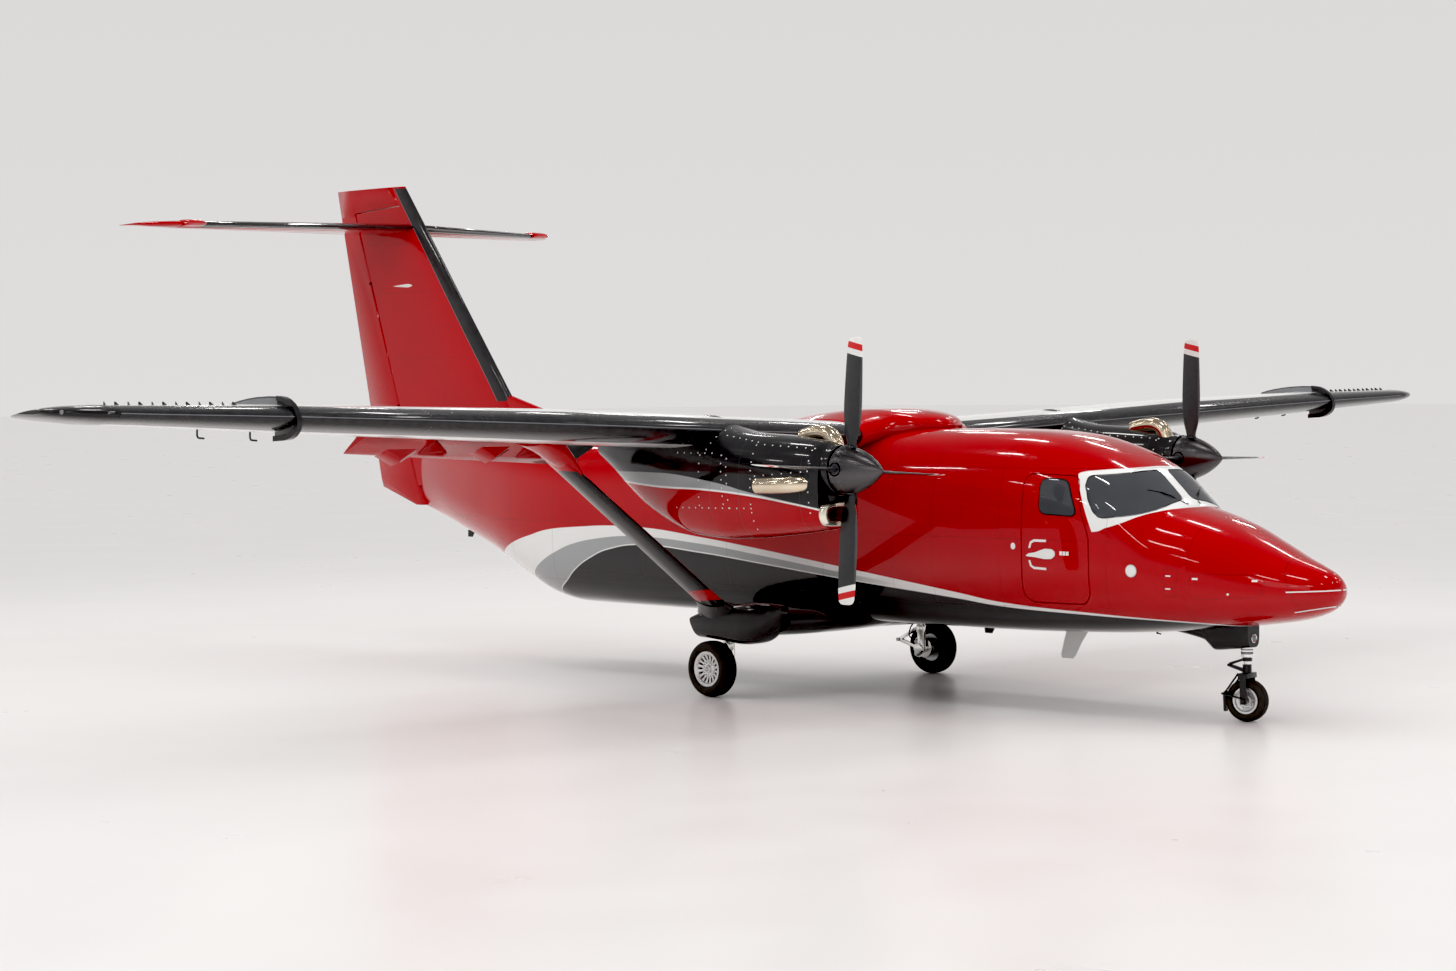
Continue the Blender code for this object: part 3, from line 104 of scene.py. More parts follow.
class Finish:
    """A procedural finish on Object coordinates, with masks, stripes and seams."""

    def __init__(self, name, rough=0.3, metal=0.0, coat=0.0, coat_rough=0.03, ior=1.5):
        self.mat = bpy.data.materials.new(name)
        self.mat.use_nodes = True
        self.tree = self.mat.node_tree
        self.shader = self.tree.nodes["Principled BSDF"]
        self.shader.inputs["Metallic"].default_value = metal
        self.shader.inputs["Roughness"].default_value = rough
        self.shader.inputs["Coat Weight"].default_value = coat
        # lacquer over paint: nearly all of the gloss comes from the coat
        self.shader.inputs["Specular IOR Level"].default_value = 0.12 if coat >= 0.5 else 0.5
        self.shader.inputs["Coat Roughness"].default_value = coat_rough
        self.shader.inputs["IOR"].default_value = ior
        coord = self.tree.nodes.new("ShaderNodeTexCoord")
        place = self.tree.nodes.new("ShaderNodeVectorMath")
        place.operation = "SUBTRACT"
        self.tree.links.new(coord.outputs["Object"], place.inputs[0])
        place.inputs[1].default_value = (SHIFT_X, 0.0, 0.0)
        self.place = place.outputs[0]
        split = self.tree.nodes.new("ShaderNodeSeparateXYZ")
        self.tree.links.new(self.place, split.inputs[0])
        self.x, self.y, self.z = split.outputs
        self.side = self.op("ABSOLUTE", self.y)

    def feed(self, socket, value):
        if isinstance(value, (int, float)):
            socket.default_value = value
        elif isinstance(value, tuple):
            short = len(value) == 3 and len(socket.default_value) == 4
            socket.default_value = (*value, 1.0) if short else value
        else:
            self.tree.links.new(value, socket)

    def op(self, kind, a, b=0.0, c=0.0, clamp=False):
        node = self.tree.nodes.new("ShaderNodeMath")
        node.operation = kind
        node.use_clamp = clamp
        for socket, value in zip(node.inputs, (a, b, c)):
            self.feed(socket, value)
        return node.outputs[0]

    def under(self, value, edge, soft=0.004):
        # 1 where value lies below edge
        return self.op("MULTIPLY_ADD", self.op("SUBTRACT", edge, value), 1.0 / soft, 0.5, clamp=True)

    def over(self, value, edge, soft=0.004):
        return self.op("MULTIPLY_ADD", self.op("SUBTRACT", value, edge), 1.0 / soft, 0.5, clamp=True)

    def both(self, *masks):
        out = masks[0]
        for m in masks[1:]:
            out = self.op("MULTIPLY", out, m)
        return out

    def either(self, *masks):
        out = masks[0]
        for m in masks[1:]:
            out = self.op("MAXIMUM", out, m)
        return out

    def near(self, value, at, half, soft=0.002):
        # 1 where value lies within half of at
        return self.under(self.op("ABSOLUTE", self.op("SUBTRACT", value, at)), half, soft)

    def convex(self, u, v, corners, grow=0.0, soft=0.004):
        # 1 inside a convex outline given counter-clockwise in u and v
        worst = None
        for (a, b), (c, d) in zip(corners, corners[1:] + corners[:1]):
            length = sqrt((c - a) ** 2 + (d - b) ** 2)
            nu, nv = (d - b) / length, (a - c) / length
            away = self.op("MULTIPLY_ADD", u, nu, -(a * nu + b * nv))
            away = self.op("MULTIPLY_ADD", v, nv, away)
            worst = away if worst is None else self.op("SMOOTH_MAX", worst, away, 0.03)
        return self.under(worst, grow, soft)

    def curve(self, source, points, low, high):
        # a smooth function of source through points, whose values lie between low and high
        first, last = points[0][0], points[-1][0]
        share = self.op("MULTIPLY_ADD", source, 1.0 / (last - first), -first / (last - first), clamp=True)
        node = self.tree.nodes.new("ShaderNodeFloatCurve")
        line = node.mapping.curves[0]
        for k, (a, b) in enumerate(points):
            at = ((a - first) / (last - first), (b - low) / (high - low))
            if k == 0:
                line.points[0].location = at
            elif k == len(points) - 1:
                line.points[-1].location = at
            else:
                line.points.new(*at)
        node.mapping.update()
        self.feed(node.inputs["Value"], share)
        return self.op("MULTIPLY_ADD", node.outputs[0], high - low, low)

    def mix(self, mask, base, top):
        node = self.tree.nodes.new("ShaderNodeMix")
        node.data_type = "RGBA"
        self.feed(node.inputs[0], mask)
        self.feed(node.inputs[6], base)
        self.feed(node.inputs[7], top)
        return node.outputs[2]

    def noise(self, scale, detail=2.0, stretch=None):
        node = self.tree.nodes.new("ShaderNodeTexNoise")
        node.inputs["Scale"].default_value = scale
        node.inputs["Detail"].default_value = detail
        source = self.place
        if stretch:
            scaled = self.tree.nodes.new("ShaderNodeVectorMath")
            scaled.operation = "MULTIPLY"
            self.tree.links.new(self.place, scaled.inputs[0])
            scaled.inputs[1].default_value = stretch
            source = scaled.outputs[0]
        self.tree.links.new(source, node.inputs["Vector"])
        return node.outputs[0]

    def spread(self, value, low, high):
        # a 0..1 noise moved to low..high
        return self.op("MULTIPLY_ADD", value, high - low, low)

    def shade(self, colour, by):
        # colour with its brightness changed by a value about 1
        node = self.tree.nodes.new("ShaderNodeVectorMath")
        node.operation = "SCALE"
        self.feed(node.inputs[0], colour)
        self.feed(node.inputs["Scale"], by)
        return node.outputs[0]

    def cloudy(self, colour, scale, detail, low, high, stretch=None):
        # colour with soft, uneven brightness
        return self.shade(colour, self.spread(self.noise(scale, detail, stretch), low, high))

    def outside(self, mask):
        return self.op("SUBTRACT", 1.0, mask)

    def faint(self, base, mask, share, top):
        # top laid thinly over base
        return self.mix(self.op("MULTIPLY", mask, share), base, top)

    def bump(self, height, distance, strength=1.0):
        node = self.tree.nodes.new("ShaderNodeBump")
        node.inputs["Distance"].default_value = distance
        node.inputs["Strength"].default_value = strength
        self.feed(node.inputs["Height"], height)
        last = self.shader.inputs["Normal"].links
        if last:
            self.tree.links.new(last[0].from_socket, node.inputs["Normal"])
        self.tree.links.new(node.outputs[0], self.shader.inputs["Normal"])

    def done(self, colour, rough=None, metal=None):
        self.feed(self.shader.inputs["Base Color"], colour)
        if rough is not None:
            self.feed(self.shader.inputs["Roughness"], rough)
        if metal is not None:
            self.feed(self.shader.inputs["Metallic"], metal)
        return self.mat


def gloss(f, base_rough=0.18):
    # the slight ripple of sprayed paint, and its uneven gloss
    f.bump(f.noise(38.0, 1.0), 0.0006, 0.35)
    return f.spread(f.noise(3.1, 3.0), base_rough - 0.05, base_rough + 0.07)


# Stripe edges on the fuselage side, x and z
RED_EDGE = [(-4.40, 1.25), (-4.00, 1.43), (-3.558, 1.586), (-3.20, 1.675), (-2.77, 1.764), (-2.19, 1.811),
            (-1.64, 1.838), (-1.00, 1.829), (-0.04, 1.744), (0.97, 1.634), (2.25, 1.476), (4.02, 1.250),
            (4.57, 1.175), (5.84, 1.099), (6.81, 1.050), (7.40, 1.010)]
GREY_EDGE = [(-3.55, 0.80), (-3.35, 1.10), (-3.258, 1.186), (-3.029, 1.327), (-2.684, 1.479), (-2.294, 1.604),
             (-1.823, 1.680), (-1.273, 1.720), (-0.04, 1.664), (0.97, 1.560), (2.23, 1.415), (4.00, 1.215),
             (4.55, 1.150), (5.84, 1.084), (7.40, 0.995)]
BLACK_EDGE = [(-2.95, 0.70), (-2.86, 0.90), (-2.778, 0.988), (-2.527, 1.132), (-2.336, 1.266),
              (-2.021, 1.427), (-1.645, 1.550), (-1.152, 1.614), (-0.04, 1.556), (0.97, 1.462),
              (2.233, 1.339), (4.002, 1.187), (4.549, 1.130), (5.84, 1.075), (6.81, 1.040), (7.45, 0.990)]
# White surround of the windshield, seen from ahead: half breadth and height, counter-clockwise
SURROUND_LOW = [(0.0, 2.213), (0.276, 2.207), (0.50, 2.185), (0.706, 2.137), (0.80, 2.086), (0.88, 2.012),
                (0.905, 1.966), (1.0, 1.955)]
SURROUND_TOP = [(0.0, 2.637), (0.393, 2.624), (0.644, 2.606), (0.740, 2.585), (0.775, 2.556), (1.0, 2.30)]
NOSE_DOOR = [(7.04, 1.300), (7.66, 1.335), (7.735, 1.385), (7.745, 1.500), (7.66, 1.560), (7.04, 1.560),
             (6.985, 1.510), (6.985, 1.350)]
NOSE_PANEL = [(6.70, 1.320), (6.835, 1.320), (6.845, 1.335), (6.845, 1.600), (6.835, 1.615), (6.70, 1.615)]


def livery(name):
    # red over a white, grey and black sweep, with the windshield's white surround
    f = Finish(name, rough=0.2, coat=0.85, coat_rough=0.025)
    red = f.curve(f.x, RED_EDGE, 0.6, 2.2)
    grey = f.curve(f.x, GREY_EDGE, 0.6, 2.2)
    black = f.curve(f.x, BLACK_EDGE, 0.6, 2.2)
    c = f.cloudy(RED, 1.7, 3.0, 0.93, 1.07)
    low = f.under(f.z, red, PAINT_EDGE)
    c = f.mix(f.both(low, f.over(f.x, -4.6, END_SOFT)), c, WHITE)
    c = f.mix(f.both(f.under(f.z, grey, PAINT_EDGE), f.over(f.x, -3.50, END_SOFT), f.under(f.x, 2.6, 1.2)), c,
              LIGHT_GREY)
    c = f.mix(f.both(f.under(f.z, f.op("ADD", black, 0.014), PAINT_EDGE), f.over(f.x, -2.93, END_SOFT)), c,
              WHITE)
    dark = f.both(f.under(f.z, black, PAINT_EDGE), f.over(f.x, -2.90, END_SOFT))
    c = f.mix(dark, c, BLACK)
    front = f.over(f.op("MULTIPLY_ADD", f.z, 0.47, f.x), 6.766, PAINT_EDGE)
    around = f.both(f.over(f.z, f.curve(f.side, SURROUND_LOW, 1.9, 2.7), PAINT_EDGE),
                    f.under(f.z, f.curve(f.side, SURROUND_TOP, 1.9, 2.7), PAINT_EDGE), front)
    c = f.mix(around, c, WHITE)
    # skin seams across and along, and the nose cap's joint
    frames = (-3.62, -2.72, -1.06, 0.42, 1.98, 3.06, 3.66, 4.62, 6.02, 6.94)
    seams = [f.near(f.x, at, 0.0022) for at in frames]
    lap = [f.both(f.near(f.z, at, 0.0020), f.under(f.x, 6.2, END_SOFT)) for at in (1.14, 1.86, 2.62)]
    cap = f.near(f.op("MULTIPLY_ADD", f.z, 0.44, f.x), 8.594, 0.0035)
    doors = [f.both(f.convex(f.x, f.z, edge, 0.003), f.outside(f.convex(f.x, f.z, edge, -0.003)))
             for edge in (NOSE_DOOR, NOSE_PANEL)]
    lines = f.either(*seams, *lap, cap, *doors)
    c = f.faint(c, lines, 0.45, SEAM_RED)
    f.bump(lines, -0.0012)
    # faint waves of the thin skin between frames
    f.bump(f.noise(1.9, 1.0, (1.0, 0.6, 0.7)), 0.0035, 0.55)
    return f.done(c, gloss(f))


def plain_red(name):
    f = Finish(name, rough=0.2, coat=0.85, coat_rough=0.025)
    c = f.cloudy(RED, 2.3, 3.0, 0.92, 1.08)
    f.bump(f.noise(2.6, 1.0), 0.002, 0.5)
    return f.done(c, gloss(f))


def plain_black(name, tone=BLACK, rough=0.2, coat=0.7):
    f = Finish(name, rough=rough, coat=coat, coat_rough=0.04)
    c = f.cloudy(tone, 4.1, 4.0, 0.8, 1.35)
    return f.done(c, gloss(f, rough))


def plain_white(name):
    f = Finish(name, rough=0.22, coat=0.6, coat_rough=0.04)
    c = f.cloudy(WHITE, 3.0, 3.0, 0.95, 1.0)
    return f.done(c, gloss(f, 0.22))


def wing_finish(name):
    # white skin, black rubber boot on the leading edge with a painted highlight line along its nose and grey
    # lines at its edges, black tip cap
    f = Finish(name, rough=0.25, coat=0.6, coat_rough=0.05)
    inner = f.curve(f.side, [(0.9, 2.56), (5.2, 2.56), (8.53, 2.36), (10.53, 2.215), (11.01, 1.84)], 1.5, 3.0)
    back = f.op("SUBTRACT", inner, f.x)
    c = f.cloudy(WHITE, 2.2, 4.0, 0.93, 1.0)
    nose = f.curve(f.side, [(0.9, 2.95), (5.2, 3.137), (8.53, 3.258), (10.53, 3.318), (11.01, 3.342)],
                   2.8, 3.5)
    height = f.op("SUBTRACT", f.z, nose)
    reach = f.op("MULTIPLY_ADD", height, -0.30, 0.255)
    boot = f.under(back, reach, 0.004)
    edge = f.near(back, reach, 0.008)
    c = f.mix(boot, c, f.cloudy(BLACK, 9.0, 3.0, 0.9, 2.0))
    # split is a painted highlight: a pale line along the boot's nose, where the leading edge catches the
    # light
    split = f.both(boot, f.near(height, 0.010, 0.004), f.over(f.side, 1.2, END_SOFT))
    c = f.faint(c, split, 0.6, BOOT_LINE)
    c = f.faint(c, edge, 0.8, BOOT_EDGE)
    tip = f.over(f.side, 10.40, PAINT_EDGE)
    c = f.mix(tip, c, BLACK)
    spars = f.either(f.near(back, 0.62, SEAM_HALF), f.near(back, 1.05, SEAM_HALF),
                     *[f.near(f.side, at, SEAM_HALF) for at in (1.9, 3.6, 4.9, 6.66, 8.1, 9.3)])
    c = f.faint(c, f.both(spars, f.outside(boot)), 0.35, SEAM_GREY)
    f.bump(spars, -0.001)
    f.bump(f.noise(2.4, 1.0), 0.002, 0.4)
    return f.done(c, gloss(f, 0.24))


# Nacelle side: pale sweep with a white pinstripe between black and red, x and z
PIN_EDGE = [(0.40, 2.500), (1.30, 2.455), (1.775, 2.430), (2.554, 2.410), (3.282, 2.350), (3.662, 2.298),
            (3.979, 2.246), (4.12, 2.215)]
PALE_EDGE = [(0.40, 2.610), (0.865, 2.594), (1.502, 2.594), (1.992, 2.581), (2.494, 2.524), (2.827, 2.474),
             (3.028, 2.430), (3.283, 2.384), (3.662, 2.322), (4.12, 2.228)]


def nacelle_finish(name):
    f = Finish(name, rough=0.2, coat=0.8, coat_rough=0.03)
    pin = f.curve(f.x, PIN_EDGE, 2.0, 3.0)
    pale = f.curve(f.x, PALE_EDGE, 2.0, 3.0)
    c = f.cloudy(BLACK, 4.0, 3.0, 0.85, 1.4)
    c = f.mix(f.under(f.z, pale, PAINT_EDGE), c, LIGHT_GREY)
    c = f.mix(f.under(f.z, f.op("ADD", pin, 0.020), 0.005), c, WHITE)
    c = f.mix(f.under(f.z, pin, 0.005), c, f.cloudy(RED, 2.0, 2.0, 0.92, 1.08))
    seams = f.either(f.near(f.x, 3.86, 0.003), f.near(f.x, 3.02, 0.003), f.near(f.x, 2.60, 0.003),
                     f.both(f.near(f.op("MULTIPLY_ADD", f.x, 0.07, f.z), 2.929, 0.0035),
                            f.over(f.x, 3.18, END_SOFT)))
    c = f.faint(c, seams, 0.5, SEAM_BLACK)
    f.bump(seams, -0.0015)
    f.bump(f.noise(3.0, 1.0), 0.0025, 0.4)
    return f.done(c, gloss(f))


def metal_finish(name, tone, rough=0.3, grain=60.0, warm=None, stretch=None):
    # bare or plated metal with fine grain and heat tint where warm is given
    f = Finish(name, rough=rough, metal=1.0)
    n = f.noise(grain, 3.0, stretch)
    c = f.shade(tone, f.spread(n, 0.86, 1.12))
    if warm:
        c = f.mix(f.spread(f.noise(7.0, 3.0), 0.15, 0.85), c, warm)
    f.bump(n, 0.0004, 0.35)
    return f.done(c, f.spread(f.noise(12.0, 3.0), max(rough - 0.07, 0.04), rough + 0.12))


def rubber_finish(name, tone=(0.020, 0.019, 0.018), dust=(0.085, 0.070, 0.058), share=0.35):
    f = Finish(name, rough=0.8)
    n = f.noise(26.0, 5.0)
    c = f.mix(f.op("MULTIPLY", n, share), tone, dust)
    f.bump(f.noise(140.0, 3.0), 0.0005, 0.5)
    return f.done(c, f.spread(f.noise(18.0, 3.0), 0.62, 0.9))


def prop_finish(name):
    # dark composite blades: white, red and white bands at the tips, on distance from the shaft
    f = Finish(name, rough=0.32, coat=0.35, coat_rough=0.12)
    dy = f.op("SUBTRACT", f.side, SHAFT_Y)
    dz = f.op("SUBTRACT", f.z, SHAFT_Z)
    reach = f.op("SQRT", f.op("ADD", f.op("MULTIPLY", dy, dy), f.op("MULTIPLY", dz, dz)))
    lean = f.op("MULTIPLY_ADD", f.op("SUBTRACT", f.x, PROP_X), 0.22, reach)
    c = f.cloudy(CHARCOAL, 22.0, 4.0, 0.75, 1.35, (0.5, 1.0, 1.0))
    c = f.mix(f.over(lean, 1.200, 0.004), c, WHITE)
    c = f.mix(f.both(f.over(lean, 1.262, 0.004), f.under(lean, 1.330, 0.004)), c, BAND_RED)
    strip = f.both(f.near(f.op("SUBTRACT", f.x, PROP_X), 0.120, 0.018), f.over(reach, 0.45, 0.02),
                   f.under(reach, 1.18, 0.01))
    c = f.faint(c, strip, 0.35, STRIP_GREY)
    f.bump(f.noise(60.0, 2.0), 0.0004, 0.4)
    return f.done(c, f.spread(f.noise(9.0, 3.0), 0.26, 0.42))


def glass_finish(name, tone=(0.075, 0.078, 0.088)):
    f = Finish(name, rough=0.03, coat=1.0, coat_rough=0.0, ior=1.52)
    haze = f.noise(2.4, 3.0)
    c = f.mix(f.spread(haze, 0.0, 0.8), tone, GLASS_HAZE)
    f.shader.inputs["Transmission Weight"].default_value = 0.15
    return f.done(c, f.spread(f.noise(5.0, 2.0), 0.02, 0.06))


SKIN = livery("livery_paint")
RED_PAINT = plain_red("red_gloss")
BLACK_PAINT = plain_black("black_gloss")
SATIN_BLACK = plain_black("satin_black", (0.018, 0.018, 0.020), 0.42, 0.15)
WHITE_PAINT = plain_white("white_gloss")
WING_PAINT = wing_finish("wing_paint")
NACELLE_PAINT = nacelle_finish("nacelle_paint")
BRIGHT = metal_finish("polished_steel", (0.82, 0.81, 0.79), 0.14, 45.0)
CHROME = metal_finish("chrome_plate", (0.90, 0.90, 0.91), 0.06, 30.0)
STEEL = metal_finish("machined_steel", (0.52, 0.52, 0.53), 0.34, 90.0)
DARK_METAL = metal_finish("dark_cast_metal", (0.10, 0.10, 0.105), 0.42, 70.0)
SPINNER_METAL = metal_finish("dark_spinner_metal", (0.135, 0.13, 0.135), 0.30, 34.0)
EXHAUST_METAL = metal_finish("heat_tinted_steel", (0.86, 0.80, 0.70), 0.17, 26.0, (0.80, 0.62, 0.40))
LIP_METAL = metal_finish("cream_polished_lip", (0.92, 0.88, 0.80), 0.20, 30.0, (0.88, 0.80, 0.66))
RIM_WHITE = metal_finish("cast_rim_alloy", (0.84, 0.84, 0.84), 0.38, 80.0)
RUBBER = rubber_finish("tyre_rubber")
SEAL = rubber_finish("black_seal", (0.012, 0.012, 0.012), (0.03, 0.03, 0.03), 0.4)
PROP_PAINT = prop_finish("blade_paint")
GLASS = glass_finish("dark_glass")
CLEAR = glass_finish("lamp_glass", (0.35, 0.36, 0.37))


# Mesh helpers

def ready(ob, material, body, nodes=(), sharp=32.0):
    # smooth shading, material and place in the frame
    me = ob.data
    me.materials.clear()
    me.materials.append(material)
    me.polygons.foreach_set("material_index", [0] * len(me.polygons))
    me.polygons.foreach_set("use_smooth", [True] * len(me.polygons))
    me.set_sharp_from_angle(angle=radians(sharp))
    me.update()
    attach(ob, body)
    if nodes:
        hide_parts(*nodes)
    return ob


def placed(name, bm):
    # the finished mesh as an object at the origin
    me = bpy.data.meshes.new(name)
    bm.to_mesh(me)
    bm.free()
    ob = bpy.data.objects.new(name, me)
    bpy.context.scene.collection.objects.link(ob)
    return ob


def solid(name, verts, faces):
    bm = bmesh.new()
    made = [bm.verts.new((v[0] + SHIFT_X, v[1], v[2])) for v in verts]
    for f in faces:
        ring = [made[i] for i in f]
        if len(set(ring)) > 2:
            bm.faces.new(ring)
    bmesh.ops.remove_doubles(bm, verts=bm.verts, dist=0.00003)
    bmesh.ops.recalc_face_normals(bm, faces=bm.faces)
    return placed(name, bm)


def loft(name, rings, closed=False):
    rings = [list(r) for r in rings]
    n = len(rings[0])
    verts = [p for r in rings for p in r]
    faces = []
    count = len(rings)
    for i in range(count if closed else count - 1):
        a = i * n
        b = ((i + 1) % count) * n
        for j in range(n):
            k = (j + 1) % n
            faces.append((a + j, a + k, b + k, b + j))
    if not closed:
        faces.append(tuple(range(n)))
        faces.append(tuple((count - 1) * n + j for j in range(n)))
    return solid(name, verts, faces)


def prism(name, outline, plane, lo, hi):
    # an outline in the plane xz or yz, drawn out from lo to hi
    def at(p, h):
        return (p[0], h, p[1]) if plane == "xz" else (h, p[0], p[1])

    return loft(name, [[at(p, lo) for p in outline], [at(p, hi) for p in outline]])


def round_ring(centre, u, v, rad, seg):
    # points on a circle in the plane of u and v
    return [centre + (u * cos(2 * pi * j / seg) + v * sin(2 * pi * j / seg)) * rad for j in range(seg)]


def across(d):
    # a direction square to d
    up = Vector((0, 0, 1)) if abs(d.z) < 0.9 else Vector((1, 0, 0))
    return d.cross(up).normalized()


def turned(name, profile, axis_dir, centre, seg=48):
    # profile rows: distance along the axis, radius; a closed profile makes a ring
    d = Vector(axis_dir).normalized()
    u = across(d)
    v = d.cross(u).normalized()
    c = Vector(centre)
    rings = [round_ring(c + d * along, u, v, rad, seg) for along, rad in profile]
    closed = profile[0] == profile[-1]
    return loft(name, rings[:-1] if closed else rings, closed)


def rod(name, p, q, rad, seg=16):
    p = Vector(p)
    q = Vector(q)
    return turned(name, [(0.0, rad), ((q - p).length, rad)], q - p, p, seg)


def pipe(name, points, rad, seg=10, steps=6):
    # a tube along a smooth line through points
    pts = [Vector(p) for p in points]
    if len(pts) > 2:
        s = np.array([0.0] + list(np.cumsum([(b - a).length for a, b in zip(pts, pts[1:])])))
        at = np.linspace(0, s[-1], steps * (len(pts) - 1) + 1)
        cols = [smooth_through(s, np.array([p[k] for p in pts]), at) for k in range(3)]
        pts = [Vector(p) for p in zip(*cols)]
    rings = []
    u = None
    for i, p in enumerate(pts):
        d = (pts[min(i + 1, len(pts) - 1)] - pts[max(i - 1, 0)]).normalized()
        if u is None:
            u = across(d)
        u = (u - d * u.dot(d)).normalized()
        rings.append(round_ring(p, u, d.cross(u), rad, seg))
    return loft(name, rings)


def smooth_through(xs, ys, at):
    # monotone cubic through the points
    h = np.diff(xs)
    d = np.diff(ys) / h
    m = np.zeros(len(xs))
    m[0], m[-1] = d[0], d[-1]
    for i in range(1, len(d)):
        if d[i - 1] * d[i] > 0:
            w1, w2 = 2 * h[i] + h[i - 1], h[i] + 2 * h[i - 1]
            m[i] = (w1 + w2) / (w1 / d[i - 1] + w2 / d[i])
    k = np.clip(np.searchsorted(xs, at, side="right") - 1, 0, len(h) - 1)
    t = (at - xs[k]) / h[k]
    return ((2 * t ** 3 - 3 * t ** 2 + 1) * ys[k] + (t ** 3 - 2 * t ** 2 + t) * h[k] * m[k]
            + (-2 * t ** 3 + 3 * t ** 2) * ys[k + 1] + (t ** 3 - t ** 2) * h[k] * m[k + 1])


def dense_rows(table, count, weight):
    # rows between those of a table, smooth in every column; weight gives each column's share of the spacing
    t = np.array(table, float)
    step = np.sqrt(((np.diff(t, axis=0) * np.array(weight)) ** 2).sum(1))
    s = np.concatenate([[0.0], np.cumsum(step)])
    at = np.linspace(0.0, s[-1], count)
    at = np.sort(np.concatenate([at, s[1:-1]]))
    at = at[np.concatenate([[True], np.diff(at) > 1e-5])]
    return np.stack([smooth_through(s, t[:, k], at) for k in range(t.shape[1])], 1)


def boolean(ob, tool, how, keep=False):
    mod = ob.modifiers.new("bool", "BOOLEAN")
    mod.operation = how
    mod.solver = "EXACT"
    mod.object = tool
    dg = bpy.context.evaluated_depsgraph_get()
    me = bpy.data.meshes.new_from_object(ob.evaluated_get(dg))
    ob.modifiers.remove(mod)
    ob.data = me
    if not keep:
        bpy.data.objects.remove(tool, do_unlink=True)
    return ob


def cut(ob, tool, keep=False):
    return boolean(ob, tool, "DIFFERENCE", keep)


def grown(ob, dist, name="grown"):
    # a copy with its skin moved outward by dist
    bm = bmesh.new()
    bm.from_mesh(ob.data)
    bm.normal_update()
    moves = [(v, v.normal.copy()) for v in bm.verts]
    for v, n in moves:
        v.co += n * dist
    return placed(name, bm)


def twin(ob, name):
    # the port piece from the starboard one
    bm = bmesh.new()
    bm.from_mesh(ob.data)
    for v in bm.verts:
        v.co.y = -v.co.y
    bmesh.ops.reverse_faces(bm, faces=bm.faces)
    return placed(name, bm)


def as_one(name, obs):
    # several shells as one piece
    bm = bmesh.new()
    for ob in obs:
        bm.from_mesh(ob.data)
        bpy.data.objects.remove(ob, do_unlink=True)
    return placed(name, bm)


def pair(ob, name, material, body, nodes=(), sharp=32.0):
    # a starboard piece and its mirror; "%s" in names is the side
    port = twin(ob, name % "port")
    ob.name = name % "stbd"
    for piece, tag in ((ob, "stbd"), (port, "port")):
        ready(piece, material, body % tag if "%s" in body else body, [n % tag for n in nodes], sharp)
    return ob, port


def from_solid(node, name, material, sharp=32.0, bevel=0.0):
    # a merged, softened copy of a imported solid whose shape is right
    src = frame["nodes"][node]
    bm = bmesh.new()
    bm.from_mesh(src.data)
    bmesh.ops.remove_doubles(bm, verts=bm.verts, dist=0.00005)
    ob = placed(name, bm)
    if bevel:
        mod = ob.modifiers.new("bevel", "BEVEL")
        mod.width = bevel
        mod.segments = 2
        mod.limit_method = "ANGLE"
        mod.angle_limit = radians(35)
        dg = bpy.context.evaluated_depsgraph_get()
        ob.data = bpy.data.meshes.new_from_object(ob.evaluated_get(dg))
        ob.modifiers.clear()
    return ready(ob, material, src["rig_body"], [node], sharp)


def power(v, n):
    return copysign(abs(v) ** (2.0 / n), v)


def body_ring(row, seg, y0=0.0):
    x, z_low, z_top, half, z_wide, n_up, n_low = row
    ring = []
    for j in range(seg):
        t = 2 * pi * j / seg
        n = n_up if sin(t) >= 0 else n_low
        h = (z_top - z_wide) if sin(t) >= 0 else (z_wide - z_low)
        ring.append((x, y0 + half * power(cos(t), n), z_wide + h * power(sin(t), n)))
    return ring


def rounded(outline, radius, steps=5):
    # outline with its corners rounded
    out = []
    n = len(outline)
    for i in range(n):
        a, b, c = Vector(outline[i - 1]), Vector(outline[i]), Vector(outline[(i + 1) % n])
        r = min(radius, (a - b).length * 0.45, (c - b).length * 0.45)
        p, q = b + (a - b).normalized() * r, b + (c - b).normalized() * r
        for k in range(steps + 1):
            t = k / steps
            out.append(tuple(p * (1 - t) ** 2 + b * 2 * t * (1 - t) + q * t * t))
    return out


def wider(pts, d):
    # outline moved outward by d
    area = sum(a[0] * b[1] - b[0] * a[1] for a, b in zip(pts, pts[1:] + pts[:1]))
    s = 1.0 if area > 0 else -1.0
    out = []
    n = len(pts)
    for i in range(n):
        a, b, c = Vector(pts[i - 1]), Vector(pts[i]), Vector(pts[(i + 1) % n])
        n1 = Vector(((b - a).y, -(b - a).x)).normalized() * s
        n2 = Vector(((c - b).y, -(c - b).x)).normalized() * s
        m = n1 + n2
        out.append(tuple(b + m / max(m.length_squared / 2.0, 0.2) * d))
    return out


